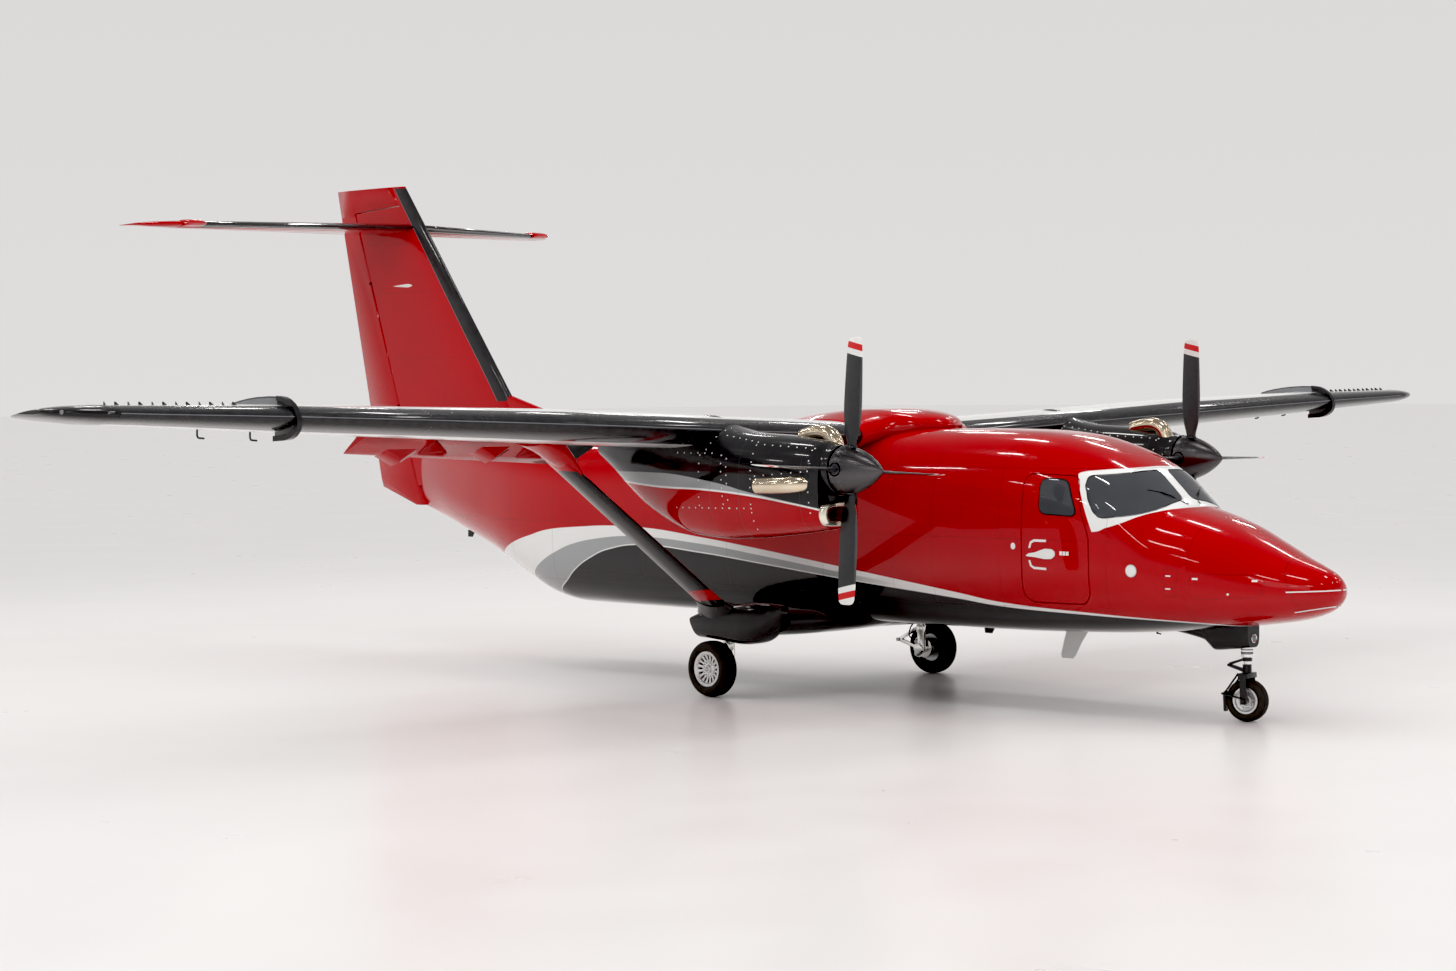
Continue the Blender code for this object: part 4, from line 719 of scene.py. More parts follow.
# Fuselage: x, lowest z, highest z, half width, z of widest, upper power, lower power
BODY = [
    (8.330, 1.360, 1.420, 0.030, 1.390, 2.0, 2.0),
    (8.305, 1.285, 1.495, 0.120, 1.390, 2.0, 2.0),
    (8.220, 1.205, 1.575, 0.235, 1.385, 2.0, 2.0),
    (8.050, 1.130, 1.650, 0.360, 1.380, 2.1, 2.1),
    (7.800, 1.070, 1.745, 0.490, 1.385, 2.2, 2.2),
    (7.456, 1.020, 1.900, 0.620, 1.400, 2.3, 2.4),
    (7.100, 0.975, 2.055, 0.720, 1.430, 2.4, 2.5),
    (6.750, 0.940, 2.165, 0.795, 1.480, 2.5, 2.7),
    (6.500, 0.915, 2.235, 0.840, 1.540, 2.5, 2.8),
    (6.300, 0.898, 2.405, 0.868, 1.620, 2.5, 2.9),
    (6.050, 0.880, 2.620, 0.895, 1.700, 2.6, 3.0),
    (5.750, 0.862, 2.770, 0.918, 1.740, 2.8, 3.1),
    (5.400, 0.848, 2.885, 0.938, 1.760, 3.0, 3.2),
    (5.000, 0.836, 2.975, 0.955, 1.770, 3.1, 3.3),
    (4.500, 0.826, 3.018, 0.966, 1.770, 3.2, 3.4),
    (3.800, 0.820, 3.032, 0.970, 1.770, 3.2, 3.4),
    (0.000, 0.820, 3.032, 0.970, 1.770, 3.2, 3.4),
    (-2.600, 0.830, 3.032, 0.965, 1.770, 3.2, 3.4),
    (-3.000, 0.880, 3.032, 0.945, 1.800, 3.2, 3.3),
    (-3.500, 1.040, 3.030, 0.895, 1.880, 3.0, 3.0),
    (-4.480, 1.400, 3.020, 0.700, 2.100, 2.7, 2.7),
    (-5.400, 1.660, 3.010, 0.450, 2.250, 2.4, 2.4),
    (-6.100, 1.860, 3.000, 0.220, 2.400, 2.2, 2.2),
    (-6.420, 1.950, 2.980, 0.105, 2.450, 2.1, 2.1),
]
BODY_FINE = dense_rows(BODY, 150, (1, 1.5, 1.5, 2.5, 0, 0, 0))
SEG = 120
body = loft("body", [body_ring(r, SEG) for r in BODY_FINE])

CREW_DOOR = [(4.930, 1.290), (5.020, 1.200), (5.710, 1.200), (5.795, 1.300), (5.800, 1.900),
             (5.690, 2.150), (5.590, 2.540), (5.000, 2.560), (4.930, 2.500)]
CARGO_DOOR = [(-2.500, 1.030), (-2.420, 0.950), (-0.430, 0.950), (-0.350, 1.030),
              (-0.350, 2.520), (-0.430, 2.600), (-2.420, 2.600), (-2.500, 2.520)]
DOOR_T = 0.030
DOOR_GAP = 0.010
PANE = [(0.075, 2.300), (0.300, 2.262), (0.846, 2.125), (0.867, 2.112), (0.867, 2.173), (0.846, 2.300),
        (0.800, 2.441), (0.756, 2.513), (0.725, 2.546), (0.307, 2.586), (0.075, 2.592)]
outer = grown(body, 0.0, "outer")
floor_door = grown(body, -(DOOR_T + 0.0006), "floor_door")
inner_door = grown(body, -DOOR_T, "inner_door")


def skin_patch(name, outline, side, proud, deep):
    # a thin piece of skin between two offsets of the fuselage, outline in x and z
    lo, hi = (0.25, 1.3) if side > 0 else (-1.3, -0.25)
    piece = prism(name, outline, "xz", lo, hi)
    out = grown(body, proud, "proud")
    inn = grown(body, -deep, "deep")
    boolean(piece, out, "INTERSECT")
    return cut(piece, inn)


def hatch(name, outline, side):
    # a door let into the skin, with its recess cut in the fuselage
    lo, hi = (0.3, 1.3) if side > 0 else (-1.3, -0.3)
    piece = prism(name, outline, "xz", lo, hi)
    boolean(piece, outer, "INTERSECT", True)
    cut(piece, inner_door, True)
    hole = prism("hole", wider(outline, DOOR_GAP), "xz", lo, hi)
    cut(hole, floor_door, True)
    cut(shell, hole)
    return piece


def glass_pane(name, side):
    outline = rounded([(side * y, z) for y, z in PANE], 0.045, 4)
    piece = prism(name, outline, "yz", 5.50, 6.60)
    boolean(piece, outer, "INTERSECT", True)
    inn = grown(body, -0.014, "deep")
    cut(piece, inn)
    hole = prism("hole", wider(outline, 0.010), "yz", 5.50, 6.60)
    floor = grown(body, -0.016, "floor")
    cut(hole, floor)
    cut(shell, hole)
    return piece


shell = grown(body, 0.0, "fuselage_skin")
door_outline = rounded(CREW_DOOR, 0.09)
crew = [hatch("crew_door_skin_" + tag, door_outline, side) for side, tag in SIDES]
cargo = hatch("cargo_door_skin", rounded(CARGO_DOOR, 0.10), 1)
panes = [glass_pane("windshield_pane_" + tag, side) for side, tag in SIDES]
for piece, (side, tag) in zip(crew, SIDES):
    ready(piece, SKIN, "crew_door_" + tag, ["crew_door_" + tag])
ready(cargo, SKIN, "cargo_door_port", ["cargo_door_port"])
for piece, (side, tag) in zip(panes, SIDES):
    ready(piece, GLASS, "airframe", ["windshield_" + tag])

# Door windows: dark bubble panes in black seals
DOOR_PANE = [(5.165, 2.150), (5.640, 2.128), (5.470, 2.500), (5.150, 2.512)]
for side, tag in SIDES:
    pane = skin_patch("door_pane_" + tag, rounded(DOOR_PANE, 0.085), side, 0.007, 0.004)
    ready(pane, GLASS, "crew_door_" + tag, ())
    seal = skin_patch("door_pane_seal_" + tag, wider(rounded(DOOR_PANE, 0.085), 0.014), side, 0.0035, 0.003)
    ready(seal, SEAL, "crew_door_" + tag, ())


def skin_marks(name, outlines, side, proud, deep=0.002):
    # small plates, strips and marks that follow the skin, made in one go
    lo, hi = (0.02, 1.3) if side > 0 else (-1.3, -0.02)
    piece = as_one(name, [prism("mark", o, "xz", lo, hi) for o in outlines])
    boolean(piece, grown(body, proud, "proud"), "INTERSECT")
    return cut(piece, grown(body, -deep, "deep"))


def box_mark(x, z, wide, tall):
    return [(x + i * wide / 2, z + j * tall / 2) for i, j in ((-1, -1), (1, -1), (1, 1), (-1, 1))]


def disc_mark(x, z, r, flat=1.0, count=28):
    return [(x + r * cos(2 * pi * k / count), z + r * flat * sin(2 * pi * k / count)) for k in range(count)]


def strip_mark(p, q, w):
    d = (Vector(q) - Vector(p)).normalized() * (w / 2)
    n = Vector((-d.y, d.x))
    return [tuple(Vector(p) - n), tuple(Vector(q) - n), tuple(Vector(q) + n), tuple(Vector(p) + n)]


# Crew door's handle and the guides round it, x and z
HANDLE = [(4.985, 1.690), (5.020, 1.684), (5.110, 1.680), (5.240, 1.662), (5.330, 1.666), (5.372, 1.700),
          (5.372, 1.742), (5.330, 1.770), (5.240, 1.772), (5.110, 1.730), (5.020, 1.716)]
GUIDES = [[(5.020, 1.775), (5.045, 1.775), (5.062, 1.825), (5.100, 1.843), (5.255, 1.843), (5.255, 1.868),
           (5.092, 1.868), (5.042, 1.842)],
          [(5.020, 1.645), (5.042, 1.580), (5.092, 1.552), (5.255, 1.545), (5.255, 1.570), (5.100, 1.576),
           (5.062, 1.594), (5.045, 1.645)]]
for side, tag in SIDES:
    handle = skin_marks("crew_door_handle_" + tag, [rounded(HANDLE, 0.012, 3)], side, 0.007)
    ready(handle, WHITE_PAINT, "crew_door_" + tag, ())
    squares = [box_mark(x, 1.729, 0.034, 0.042) for x in (5.450, 5.492, 5.534)]
    guides = skin_marks("crew_door_guides_" + tag, GUIDES + squares, side, 0.0015)
    ready(guides, WHITE_PAINT, "crew_door_" + tag, ())
    plain = [disc_mark(4.811, 1.788, 0.030, 1.2), box_mark(6.750, 1.533, 0.055, 0.014),
             box_mark(6.747, 1.400, 0.055, 0.014), box_mark(7.044, 1.511, 0.060, 0.020),
             box_mark(7.649, 1.504, 0.055, 0.020), disc_mark(7.388, 1.362, 0.012)]
    ready(skin_marks("side_marks_" + tag, plain, side, 0.0015), WHITE_PAINT, "airframe", ())
    ready(skin_marks("side_disc_" + tag, [disc_mark(6.326, 1.573, 0.060)], side, 0.003), WHITE_PAINT,
          "airframe", ())
    ready(skin_marks("side_disc_rim_" + tag, [disc_mark(6.326, 1.573, 0.067)], side, 0.002), STEEL,
          "airframe", ())
    strips = [strip_mark((7.946, 1.396), (8.439, 1.417), 0.013),
              strip_mark((8.100, 1.694), (8.480, 1.512), 0.010),
              strip_mark((7.970, 1.185), (8.330, 1.255), 0.010)]
    ready(skin_marks("nose_strips_" + tag, strips, side, 0.004), WHITE_PAINT, "airframe", ())

# the offset bodies have done their work
for tool in (body, outer, floor_door, inner_door):
    bpy.data.objects.remove(tool, do_unlink=True)

# Red fairing over the wing's middle
HUMP = [
    (-0.905, 2.575, 2.950, 2.150, 0.186),
    (-0.600, 2.700, 3.020, 2.500, 0.166),
    (-0.350, 2.950, 3.055, 3.000, 0.137),
    (0.000, 3.080, 3.060, 3.250, 0.128),
    (0.350, 2.950, 3.055, 3.000, 0.137),
    (0.600, 2.700, 3.020, 2.500, 0.166),
    (0.905, 2.575, 2.950, 2.150, 0.186),
]
TWIST = 0.042
CUTS = [0.5 - 0.5 * cos(pi * k / 26) for k in range(27)]


def half_thick(t, c):
    return 5 * t * (0.2969 * c ** 0.5 - 0.126 * c - 0.3516 * c * c
                    + 0.2843 * c ** 3 - 0.1036 * c ** 4) + 0.0008


def airfoil(xle, zle, chord, t, camber=0.010):
    pts = []
    for c in reversed(CUTS):
        z = half_thick(t, c) + camber * 4 * c * (1 - c)
        pts.append((xle - chord * c, zle + chord * (z - TWIST * c)))
    for c in CUTS[1:]:
        z = -half_thick(t, c) + camber * 4 * c * (1 - c)
        pts.append((xle - chord * c, zle + chord * (z - TWIST * c)))
    return pts


hump_rows = dense_rows(HUMP, 46, (1, 0.3, 1, 0.3, 1))
hump = loft("wing_fairing", [[(x, y, z) for x, z in airfoil(a, b, c, t)] for y, a, b, c, t in hump_rows])
ready(hump, RED_PAINT, "airframe", ["fuselage"])
ready(shell, SKIN, "airframe", ["fuselage"])

# Wing: y, leading edge x, leading edge z, chord, thickness share
WING = [
    (0.900, 2.560, 2.950, 2.100, 0.172),
    (5.200, 2.560, 3.137, 2.100, 0.170),
    (8.530, 2.360, 3.258, 1.640, 0.164),
    (10.530, 2.215, 3.318, 1.280, 0.140),
    (10.800, 2.110, 3.328, 1.060, 0.130),
    (10.960, 1.960, 3.336, 0.720, 0.110),
    (11.010, 1.840, 3.342, 0.420, 0.090),
]


def station(y):
    for a, b in zip(WING, WING[1:]):
        if a[0] <= y <= b[0]:
            f = (y - a[0]) / (b[0] - a[0])
            return tuple(p + (q - p) * f for p, q in zip(a, b))
    return WING[-1]


def wing_surface(y, x):
    _, xle, zle, chord, t = station(y)
    c = min(max((xle - x) / chord, 0.0), 1.0)
    mid = 0.010 * 4 * c * (1 - c) - TWIST * c
    h = half_thick(t, c)
    return zle + chord * (mid + h), zle + chord * (mid - h)


def wing_ring(y):
    _, xle, zle, chord, t = station(y)
    return [(x, -y, z) for x, z in airfoil(xle, zle, chord, t)]


FLAP_SPANS = [("inner", 1.020, 2.400), ("outer", 3.420, 6.600)]
AIL_SPAN = (6.720, 10.380)
AIL_HX = (1.065, 1.250)


def bay_round(x, mid, q, half, aft):
    # the hollow behind a spar for a surface that turns about x, mid: a round nose, open aft
    pts = [(x + 0.45 * q, mid + half)]
    for a in range(63, -64, -9):
        pts.append((x + q * cos(radians(a)) * 1.03, mid + q * sin(radians(a))))
    return pts + [(x + 0.45 * q, mid - half), (x - aft, mid - half), (x - aft, mid + half)]


def flap_bay(y):
    up2, low2 = wing_surface(y, 1.10)
    up, low = wing_surface(y, 0.88)
    pts = [(0.760, up + 0.30), (0.760, wing_surface(y, 0.76)[0] - 0.010)]
    for x, drop in ((0.82, 0.016), (0.900, 0.022), (0.96, 0.029), (1.010, 0.035)):
        pts.append((x, wing_surface(y, x)[0] - drop))
    pts += [(1.090, (up2 + low2) / 2 + 0.010), (1.085, low2 - 0.30), (0.20, low2 - 0.30), (0.20, up + 0.30)]
    return pts


def aileron_hinge(y):
    (y0, y1) = AIL_SPAN
    ends = []
    for ye, xe in ((y0, AIL_HX[0]), (y1, AIL_HX[1])):
        up, low = wing_surface(ye, xe)
        ends.append((xe, (up + low) / 2))
    f = (y - y0) / (y1 - y0)
    x = ends[0][0] + (ends[1][0] - ends[0][0]) * f
    z = ends[0][1] + (ends[1][1] - ends[0][1]) * f
    up, low = wing_surface(y, x)
    return x, z, min(up - z, z - low) - 0.003


def aileron_bay(y):
    x, z, r = aileron_hinge(y)
    return bay_round(x, z, r + MOVE_GAP, 0.4, 1.2)


spans = list(np.linspace(0.9, 5.2, 16))
spans += list(np.linspace(5.2, 8.53, 12))[1:]
spans += list(np.linspace(8.53, 10.53, 9))[1:]
wing_rings = [wing_ring(y) for y in spans]
for y, xle, zle, chord, t in dense_rows(WING[3:], 14, (1, 1, 1, 1, 1))[1:]:
    wing_rings.append([(x, -y, z) for x, z in airfoil(xle, zle, chord, t)])
wing = loft("wing_skin", wing_rings)
for label, y0, y1 in FLAP_SPANS:
    cut(wing, loft("bay", [[(x, -y, z) for x, z in flap_bay(y)] for y in (y0 - MOVE_GAP, y1 + MOVE_GAP)]))
cut(wing, loft("bay", [[(x, -y, z) for x, z in aileron_bay(y)]
                       for y in (AIL_SPAN[0] - MOVE_GAP, 8.53, AIL_SPAN[1] + MOVE_GAP)]))
pair(wing, "wing_skin_%s", WING_PAINT, "airframe", ["wing_%s"], 28.0)

# Nacelle: x, lowest z, highest z, half width, z of widest, upper power, lower power
NACELLE = [
    (4.075, 2.040, 2.908, 0.300, 2.520, 2.1, 4.0),
    (3.970, 2.012, 2.945, 0.332, 2.500, 2.3, 3.4),
    (3.500, 1.950, 2.998, 0.395, 2.490, 2.5, 3.0),
    (2.900, 1.895, 3.035, 0.425, 2.480, 2.7, 2.9),
    (2.600, 1.880, 3.085, 0.435, 2.480, 2.6, 2.9),
    (2.130, 1.905, 3.218, 0.430, 2.500, 2.2, 2.8),
    (1.900, 1.960, 3.180, 0.415, 2.520, 2.2, 2.6),
    (1.670, 2.040, 3.130, 0.390, 2.570, 2.4, 2.5),
    (1.350, 2.180, 3.060, 0.340, 2.640, 2.6, 2.4),
    (1.020, 2.370, 3.010, 0.265, 2.730, 2.6, 2.3),
    (0.700, 2.590, 2.960, 0.180, 2.800, 2.6, 2.2),
    (0.420, 2.750, 2.925, 0.085, 2.850, 2.4, 2.2),
]
COWL_R = 0.268
NACELLE_FINE = dense_rows(NACELLE, 70, (1, 1, 1, 1, 0, 0, 0))
nacelle = loft("nacelle_skin", [body_ring(r, 88, -SHAFT_Y) for r in NACELLE_FINE])
nose_ring = turned("nose_ring", [(0.0, COWL_R + 0.004), (0.10, COWL_R + 0.003), (0.150, COWL_R),
                                 (0.160, COWL_R - 0.004), (0.165, COWL_R - 0.010)], (1, 0, 0),
                   (4.000, -SHAFT_Y, SHAFT_Z), 80)
boolean(nacelle, nose_ring, "UNION")
cut(nacelle, turned("pocket", [(0.0, 0.222), (0.5, 0.222)], (1, 0, 0), (3.80, -SHAFT_Y, SHAFT_Z), 72))
INLET = [(0.268, 2.210), (0.235, 2.282), (0.150, 2.303), (0.000, 2.308), (-0.150, 2.303), (-0.235, 2.282),
         (-0.268, 2.210), (-0.262, 2.140), (-0.215, 2.078), (-0.130, 2.062), (0.000, 2.058), (0.130, 2.062),
         (0.215, 2.078), (0.262, 2.140)]
INLET_Z = 2.185
INLET_FINE = rounded(INLET, 0.09, 3)


def inlet_ring(x, wide, tall):
    return [(x, -SHAFT_Y + y * wide, INLET_Z + (z - INLET_Z) * tall) for y, z in INLET_FINE]


cut(nacelle, loft("scoop", [inlet_ring(x, 0.68 + (4.2 - x) * 0.1, 0.60 + (4.2 - x) * 0.1)
                            for x in (3.72, 4.20)]))
pair(nacelle, "nacelle_skin_%s", NACELLE_PAINT, "airframe", ["nacelle_%s"], 30.0)
LIP_WALL = [(4.076, 0.70, 0.62), (4.100, 0.69, 0.61), (4.116, 0.715, 0.645), (4.124, 0.77, 0.72),
            (4.126, 0.85, 0.82), (4.122, 0.93, 0.92), (4.112, 1.00, 1.00), (4.098, 1.05, 1.05),
            (4.076, 1.075, 1.075)]
lip = loft("inlet_lip", [inlet_ring(*row) for row in LIP_WALL], True)
pair(lip, "inlet_ring_%s", LIP_METAL, "airframe", ["inlet_lip_%s"], 40.0)


# Exhausts: rounds of points, the rolled end as distance and radius, and the radii of bore and pipe
PIPE_SEG = 40
PIPE_STEPS = 22
PIPE_END = [(0.004, 0.084), (0.008, 0.081), (0.004, 0.076), (-0.02, 0.073)]
BORE_R = 0.072
PIPE_R = 0.082
BORE_FROM = 8


def exhaust(name, line):
    # bent stack with a rolled end, open at the tip
    s = np.linspace(0, 1, PIPE_STEPS)
    p = [Vector(v) for v in line]
    mid = [p[0] * (1 - t) ** 3 + p[1] * 3 * t * (1 - t) ** 2 + p[2] * 3 * t * t * (1 - t) + p[3] * t ** 3
           for t in s]
    rings = []
    for i, c in enumerate(mid):
        d = (mid[min(i + 1, len(mid) - 1)] - mid[max(i - 1, 0)]).normalized()
        u = d.cross(Vector((0, 0, 1))).normalized()
        v = d.cross(u).normalized()
        rings.append((c, d, u, v))
    rad = [PIPE_R * (1.0 + 0.07 * sin(pi * t)) for t in s]
    out = [round_ring(c, u, v, r, PIPE_SEG) for (c, d, u, v), r in zip(rings, rad)]
    c, d, u, v = rings[-1]
    for along, r in PIPE_END:
        out.append(round_ring(c + d * along, u, v, r, PIPE_SEG))
    for c, _, u, v in rings[-2:BORE_FROM:-3]:
        out.append(round_ring(c, u, v, BORE_R, PIPE_SEG))
    return loft(name, out)


EXH_OUT = [(3.900, -3.080, 2.500), (3.895, -3.330, 2.495), (3.700, -3.375, 2.488), (3.400, -3.400, 2.480)]
EXH_IN = [(3.990, -2.800, 2.800), (3.965, -2.800, 3.060), (3.780, -2.800, 3.055), (3.500, -2.800, 2.985)]
for label, line in (("exhaust_outer", EXH_OUT), ("exhaust_inner", EXH_IN)):
    stack = exhaust(label, line)
    pair(stack, label + "_pipe_%s", EXHAUST_METAL, "airframe", [label + "_%s"], 50.0)

# Propeller: distance from the shaft, chord, thickness
BLADE = [
    (0.120, 0.115, 0.080),
    (0.260, 0.122, 0.064),
    (0.420, 0.205, 0.044),
    (0.700, 0.255, 0.034),
    (1.050, 0.245, 0.024),
    (1.280, 0.225, 0.018),
    (1.365, 0.195, 0.014),
    (1.386, 0.150, 0.011),
    (1.395, 0.090, 0.007),
]
SPINNER = [(0.0, 0.252), (0.004, 0.258), (0.040, 0.258), (0.125, 0.243), (0.240, 0.204), (0.355, 0.147),
           (0.460, 0.078), (0.510, 0.034), (0.530, 0.016), (0.537, 0.004)]
SPIN_BASE_X = 4.185
BLADE_FORM = [(0.5, 0.0), (0.485, 0.22), (0.45, 0.42), (0.38, 0.66), (0.28, 0.86), (0.15, 1.0), (0.0, 0.98),
              (-0.15, 0.86), (-0.30, 0.60), (-0.42, 0.30), (-0.5, 0.05)]


def blade(y, angle):
    # one twisted blade; angle is measured from upright
    out = Vector((0, sin(angle), cos(angle)))
    wide = Vector((0, cos(angle), -sin(angle)))
    rings = []
    for r, chord, thick in dense_rows(BLADE, 44, (1, 0.5, 0.5)):
        turn = radians(7.0) * (0.75 - r)
        fore = Vector((1, 0, 0)) * cos(turn) + wide * sin(turn)
        flat = wide * cos(turn) - Vector((1, 0, 0)) * sin(turn)
        form = BLADE_FORM + [(c, -h) for c, h in reversed(BLADE_FORM[1:])]
        rings.append([Vector((PROP_X, y, SHAFT_Z)) + out * r + fore * chord * c + flat * thick * 0.5 * h
                      for c, h in form])
    return loft("blade", rings)


def propeller(side, tag, turn):
    # spinner with four openings, four blades and their cuffs; turn is the first blade's angle from upright
    y = side * SHAFT_Y
    base = Vector((PROP_X, y, SHAFT_Z))
    rows = dense_rows(SPINNER, 34, (1, 1))
    cone = turned("spinner_" + tag, [(0.0, 0.100)] + [tuple(r) for r in rows], (1, 0, 0),
                  (SPIN_BASE_X, y, SHAFT_Z), 96)
    for k in range(4):
        a = radians(turn + 90 * k)
        out = Vector((0, sin(a), cos(a)))
        cut(cone, turned("opening", [(0.0, 0.072), (0.20, 0.072)], out, base + out * 0.19, 40))
    ready(cone, SPINNER_METAL, "propeller_" + tag, ["propeller_" + tag], 30.0)
    blades = []
    cuffs = []
    for k in range(4):
        a = radians(turn + 90 * k)
        out = Vector((0, sin(a), cos(a)))
        blades.append(blade(y, a))
        cuffs.append(turned("cuff", [(0.10, 0.040), (0.10, 0.066), (0.235, 0.066), (0.250, 0.063),
                                     (0.256, 0.052), (0.262, 0.040)], out, base, 36))
    ready(as_one("blades_" + tag, blades), PROP_PAINT, "propeller_" + tag, ["propeller_" + tag],
          40.0)
    ready(as_one("blade_cuffs_" + tag, cuffs), DARK_METAL, "propeller_" + tag, ["propeller_" + tag],
          35.0)


propeller(-1, "stbd", 3.6)
propeller(1, "port", 1.2)


# Fin and rudder: z, leading edge x, hinge x, trailing edge x, half thickness at the hinge
FIN = [
    (2.700, -4.110, -6.716, -7.526, 0.100),
    (3.350, -4.562, -6.955, -7.680, 0.092),
    (4.500, -5.452, -7.382, -7.951, 0.076),
    (5.740, -6.411, -7.838, -8.244, 0.060),
    (6.310, -6.852, -8.047, -8.378, 0.052),
]
TAIL_Z = 5.740
THICK = [(0.0, 0.0), (0.004, 0.13), (0.012, 0.23), (0.03, 0.36), (0.06, 0.51), (0.10, 0.64), (0.18, 0.81),
         (0.28, 0.93), (0.40, 0.99), (0.50, 1.0), (0.62, 0.99), (0.75, 0.97), (0.88, 0.93), (1.0, 0.88)]


def tail_finish(name):
    # red, with a black boot on the fin's leading edge and a blank pale plate on each side
    f = Finish(name, rough=0.2, coat=0.85, coat_rough=0.025)
    lead = f.curve(f.z, [(r[0], r[1]) for r in FIN], -7.5, -4.0)
    back = f.op("SUBTRACT", lead, f.x)
    width = f.op("MULTIPLY_ADD", f.op("SUBTRACT", 6.31, f.z), 0.024, 0.205)
    boot = f.both(f.under(back, width, 0.005), f.over(f.z, 3.36, END_SOFT), f.under(f.z, 6.285, PAINT_EDGE))
    c = f.cloudy(RED, 1.9, 3.0, 0.92, 1.08)
    c = f.mix(boot, c, f.cloudy(BLACK, 9.0, 3.0, 0.9, 1.9))
    c = f.faint(c, f.both(f.near(back, width, 0.010), boot), 0.5, BOOT_LINE)
    mark = f.convex(f.x, f.z, [(-6.86, 4.925), (-6.70, 4.915), (-6.60, 4.945), (-6.70, 4.975), (-6.86, 4.965),
                               (-7.10, 4.950), (-7.10, 4.940)], 0.0, 0.004)
    c = f.mix(mark, c, PLATE_PALE)
    seams = f.either(f.near(f.z, 3.95, SEAM_HALF), f.near(f.z, 4.85, SEAM_HALF), f.near(f.z, 5.52, SEAM_HALF),
                     f.near(f.op("MULTIPLY_ADD", f.z, 0.36, f.x), -4.62, SEAM_HALF))
    c = f.faint(c, f.both(seams, f.outside(boot)), 0.4, SEAM_TAIL)
    f.bump(seams, -0.001)
    f.bump(f.noise(2.2, 1.0), 0.0025, 0.45)
    return f.done(c, gloss(f))


def stabiliser_finish(name):
    f = Finish(name, rough=0.2, coat=0.85, coat_rough=0.025)
    lead = f.op("MULTIPLY_ADD", f.side, (-7.600 + 6.600) / 3.09, -6.5935)
    back = f.op("SUBTRACT", lead, f.x)
    boot = f.under(back, 0.135, 0.004)
    c = f.cloudy(RED, 2.1, 3.0, 0.92, 1.08)
    boot = f.both(boot, f.under(f.side, 2.86, 0.004))
    c = f.mix(boot, c, f.cloudy(BLACK, 9.0, 3.0, 0.9, 1.9))
    c = f.faint(c, f.both(f.near(back, 0.132, 0.005), boot), 0.6, BOOT_RIM)
    ribs = f.either(f.near(f.side, 0.85, SEAM_HALF), f.near(f.side, 1.65, SEAM_HALF),
                    f.near(f.side, 2.45, SEAM_HALF))
    c = f.faint(c, f.both(ribs, f.outside(boot)), 0.4, SEAM_TAIL)
    f.bump(ribs, -0.001)
    return f.done(c, gloss(f))


def strut_finish(name):
    # black strut with a red head and a red cuff above the pod
    f = Finish(name, rough=0.3, coat=0.5, coat_rough=0.12)
    c = f.cloudy(BLACK, 5.0, 3.0, 0.85, 1.4)
    red = f.cloudy(RED, 3.0, 2.0, 0.92, 1.08)
    c = f.mix(f.over(f.op("MULTIPLY_ADD", f.side, -0.10, f.z), 2.185, 0.005), c, red)
    lean = f.op("MULTIPLY_ADD", f.x, -0.10, f.z)
    c = f.mix(f.both(f.over(lean, 0.985, 0.005), f.under(lean, 1.105, 0.005)), c, red)
    return f.done(c, gloss(f))


def fence_finish(name):
    # black band in front, grey sheet aft with a darker rim
    f = Finish(name, rough=0.3, coat=0.4, coat_rough=0.08)
    aft = f.both(f.under(f.x, 2.045, 0.004), f.over(f.z, 3.20, 0.02))
    top = f.curve(f.x, [(1.205, 3.378), (1.42, 3.425), (1.70, 3.458), (2.10, 3.462)], 3.0, 3.6)
    rim = f.over(f.z, f.op("SUBTRACT", top, 0.016), 0.004)
    c = f.cloudy(BLACK, 14.0, 3.0, 0.9, 1.6)
    c = f.mix(aft, c, f.mix(rim, f.cloudy(SHEET_GREY, 6.0, 3.0, 0.85, 1.15), SHEET_RIM))
    return f.done(c, f.spread(f.noise(8.0, 2.0), 0.22, 0.42))


def flap_finish(name):
    # red, black towards the nacelle where the cowl's colour runs on
    f = Finish(name, rough=0.22, coat=0.8, coat_rough=0.03)
    edge = f.op("MULTIPLY_ADD", f.op("SUBTRACT", 2.89, f.z), 0.95, f.side)
    c = f.cloudy(RED, 2.3, 3.0, 0.85, 1.05)
    c = f.mix(f.under(edge, 3.955, PAINT_EDGE), c, f.cloudy(FLAP_BLACK, 5.0, 3.0, 0.9, 1.3))
    ribs = f.either(*[f.near(f.side, at, SEAM_HALF) for at in (4.25, 4.9, 5.6, 6.2)])
    f.bump(ribs, -0.001)
    c = f.faint(c, ribs, 0.35, SEAM_FLAP)
    return f.done(c, gloss(f))


TAIL_PAINT = tail_finish("tail_paint")
STAB_PAINT = stabiliser_finish("stabiliser_paint")
STRUT_PAINT = strut_finish("strut_paint")
FENCE_PAINT = fence_finish("fence_paint")
FLAP_PAINT = flap_finish("flap_paint")
DARK_RED = plain_red("dark_red_bracket")


def fin_row(z):
    for a, b in zip(FIN, FIN[1:]):
        if z <= b[0] or b is FIN[-1]:
            f = (z - a[0]) / (b[0] - a[0])
            return tuple(p + (q - p) * f for p, q in zip(a, b))


def up_fin(column, z, foot=FIN[0]):
    # a value of the table on the straight line from foot to the tip
    tip = FIN[-1]
    return foot[column] + (tip[column] - foot[column]) * (z - FIN[0][0]) / (tip[0] - FIN[0][0])


def hinge_at(z):
    return up_fin(2, z)


def half_at(z):
    return up_fin(4, z)


def horn_line(z):
    return up_fin(1, z, FIN[1])


def fin_ring(z):
    _, xle, xh, xte, th = fin_row(z)
    t = th * 1.15
    c = xle - xh
    up = [(xle - c * f, t * k, z) for f, k in THICK] + [(xte, 0.0025, z)]
    return up + [(x, -y, z) for x, y, z in reversed(up[1:])]


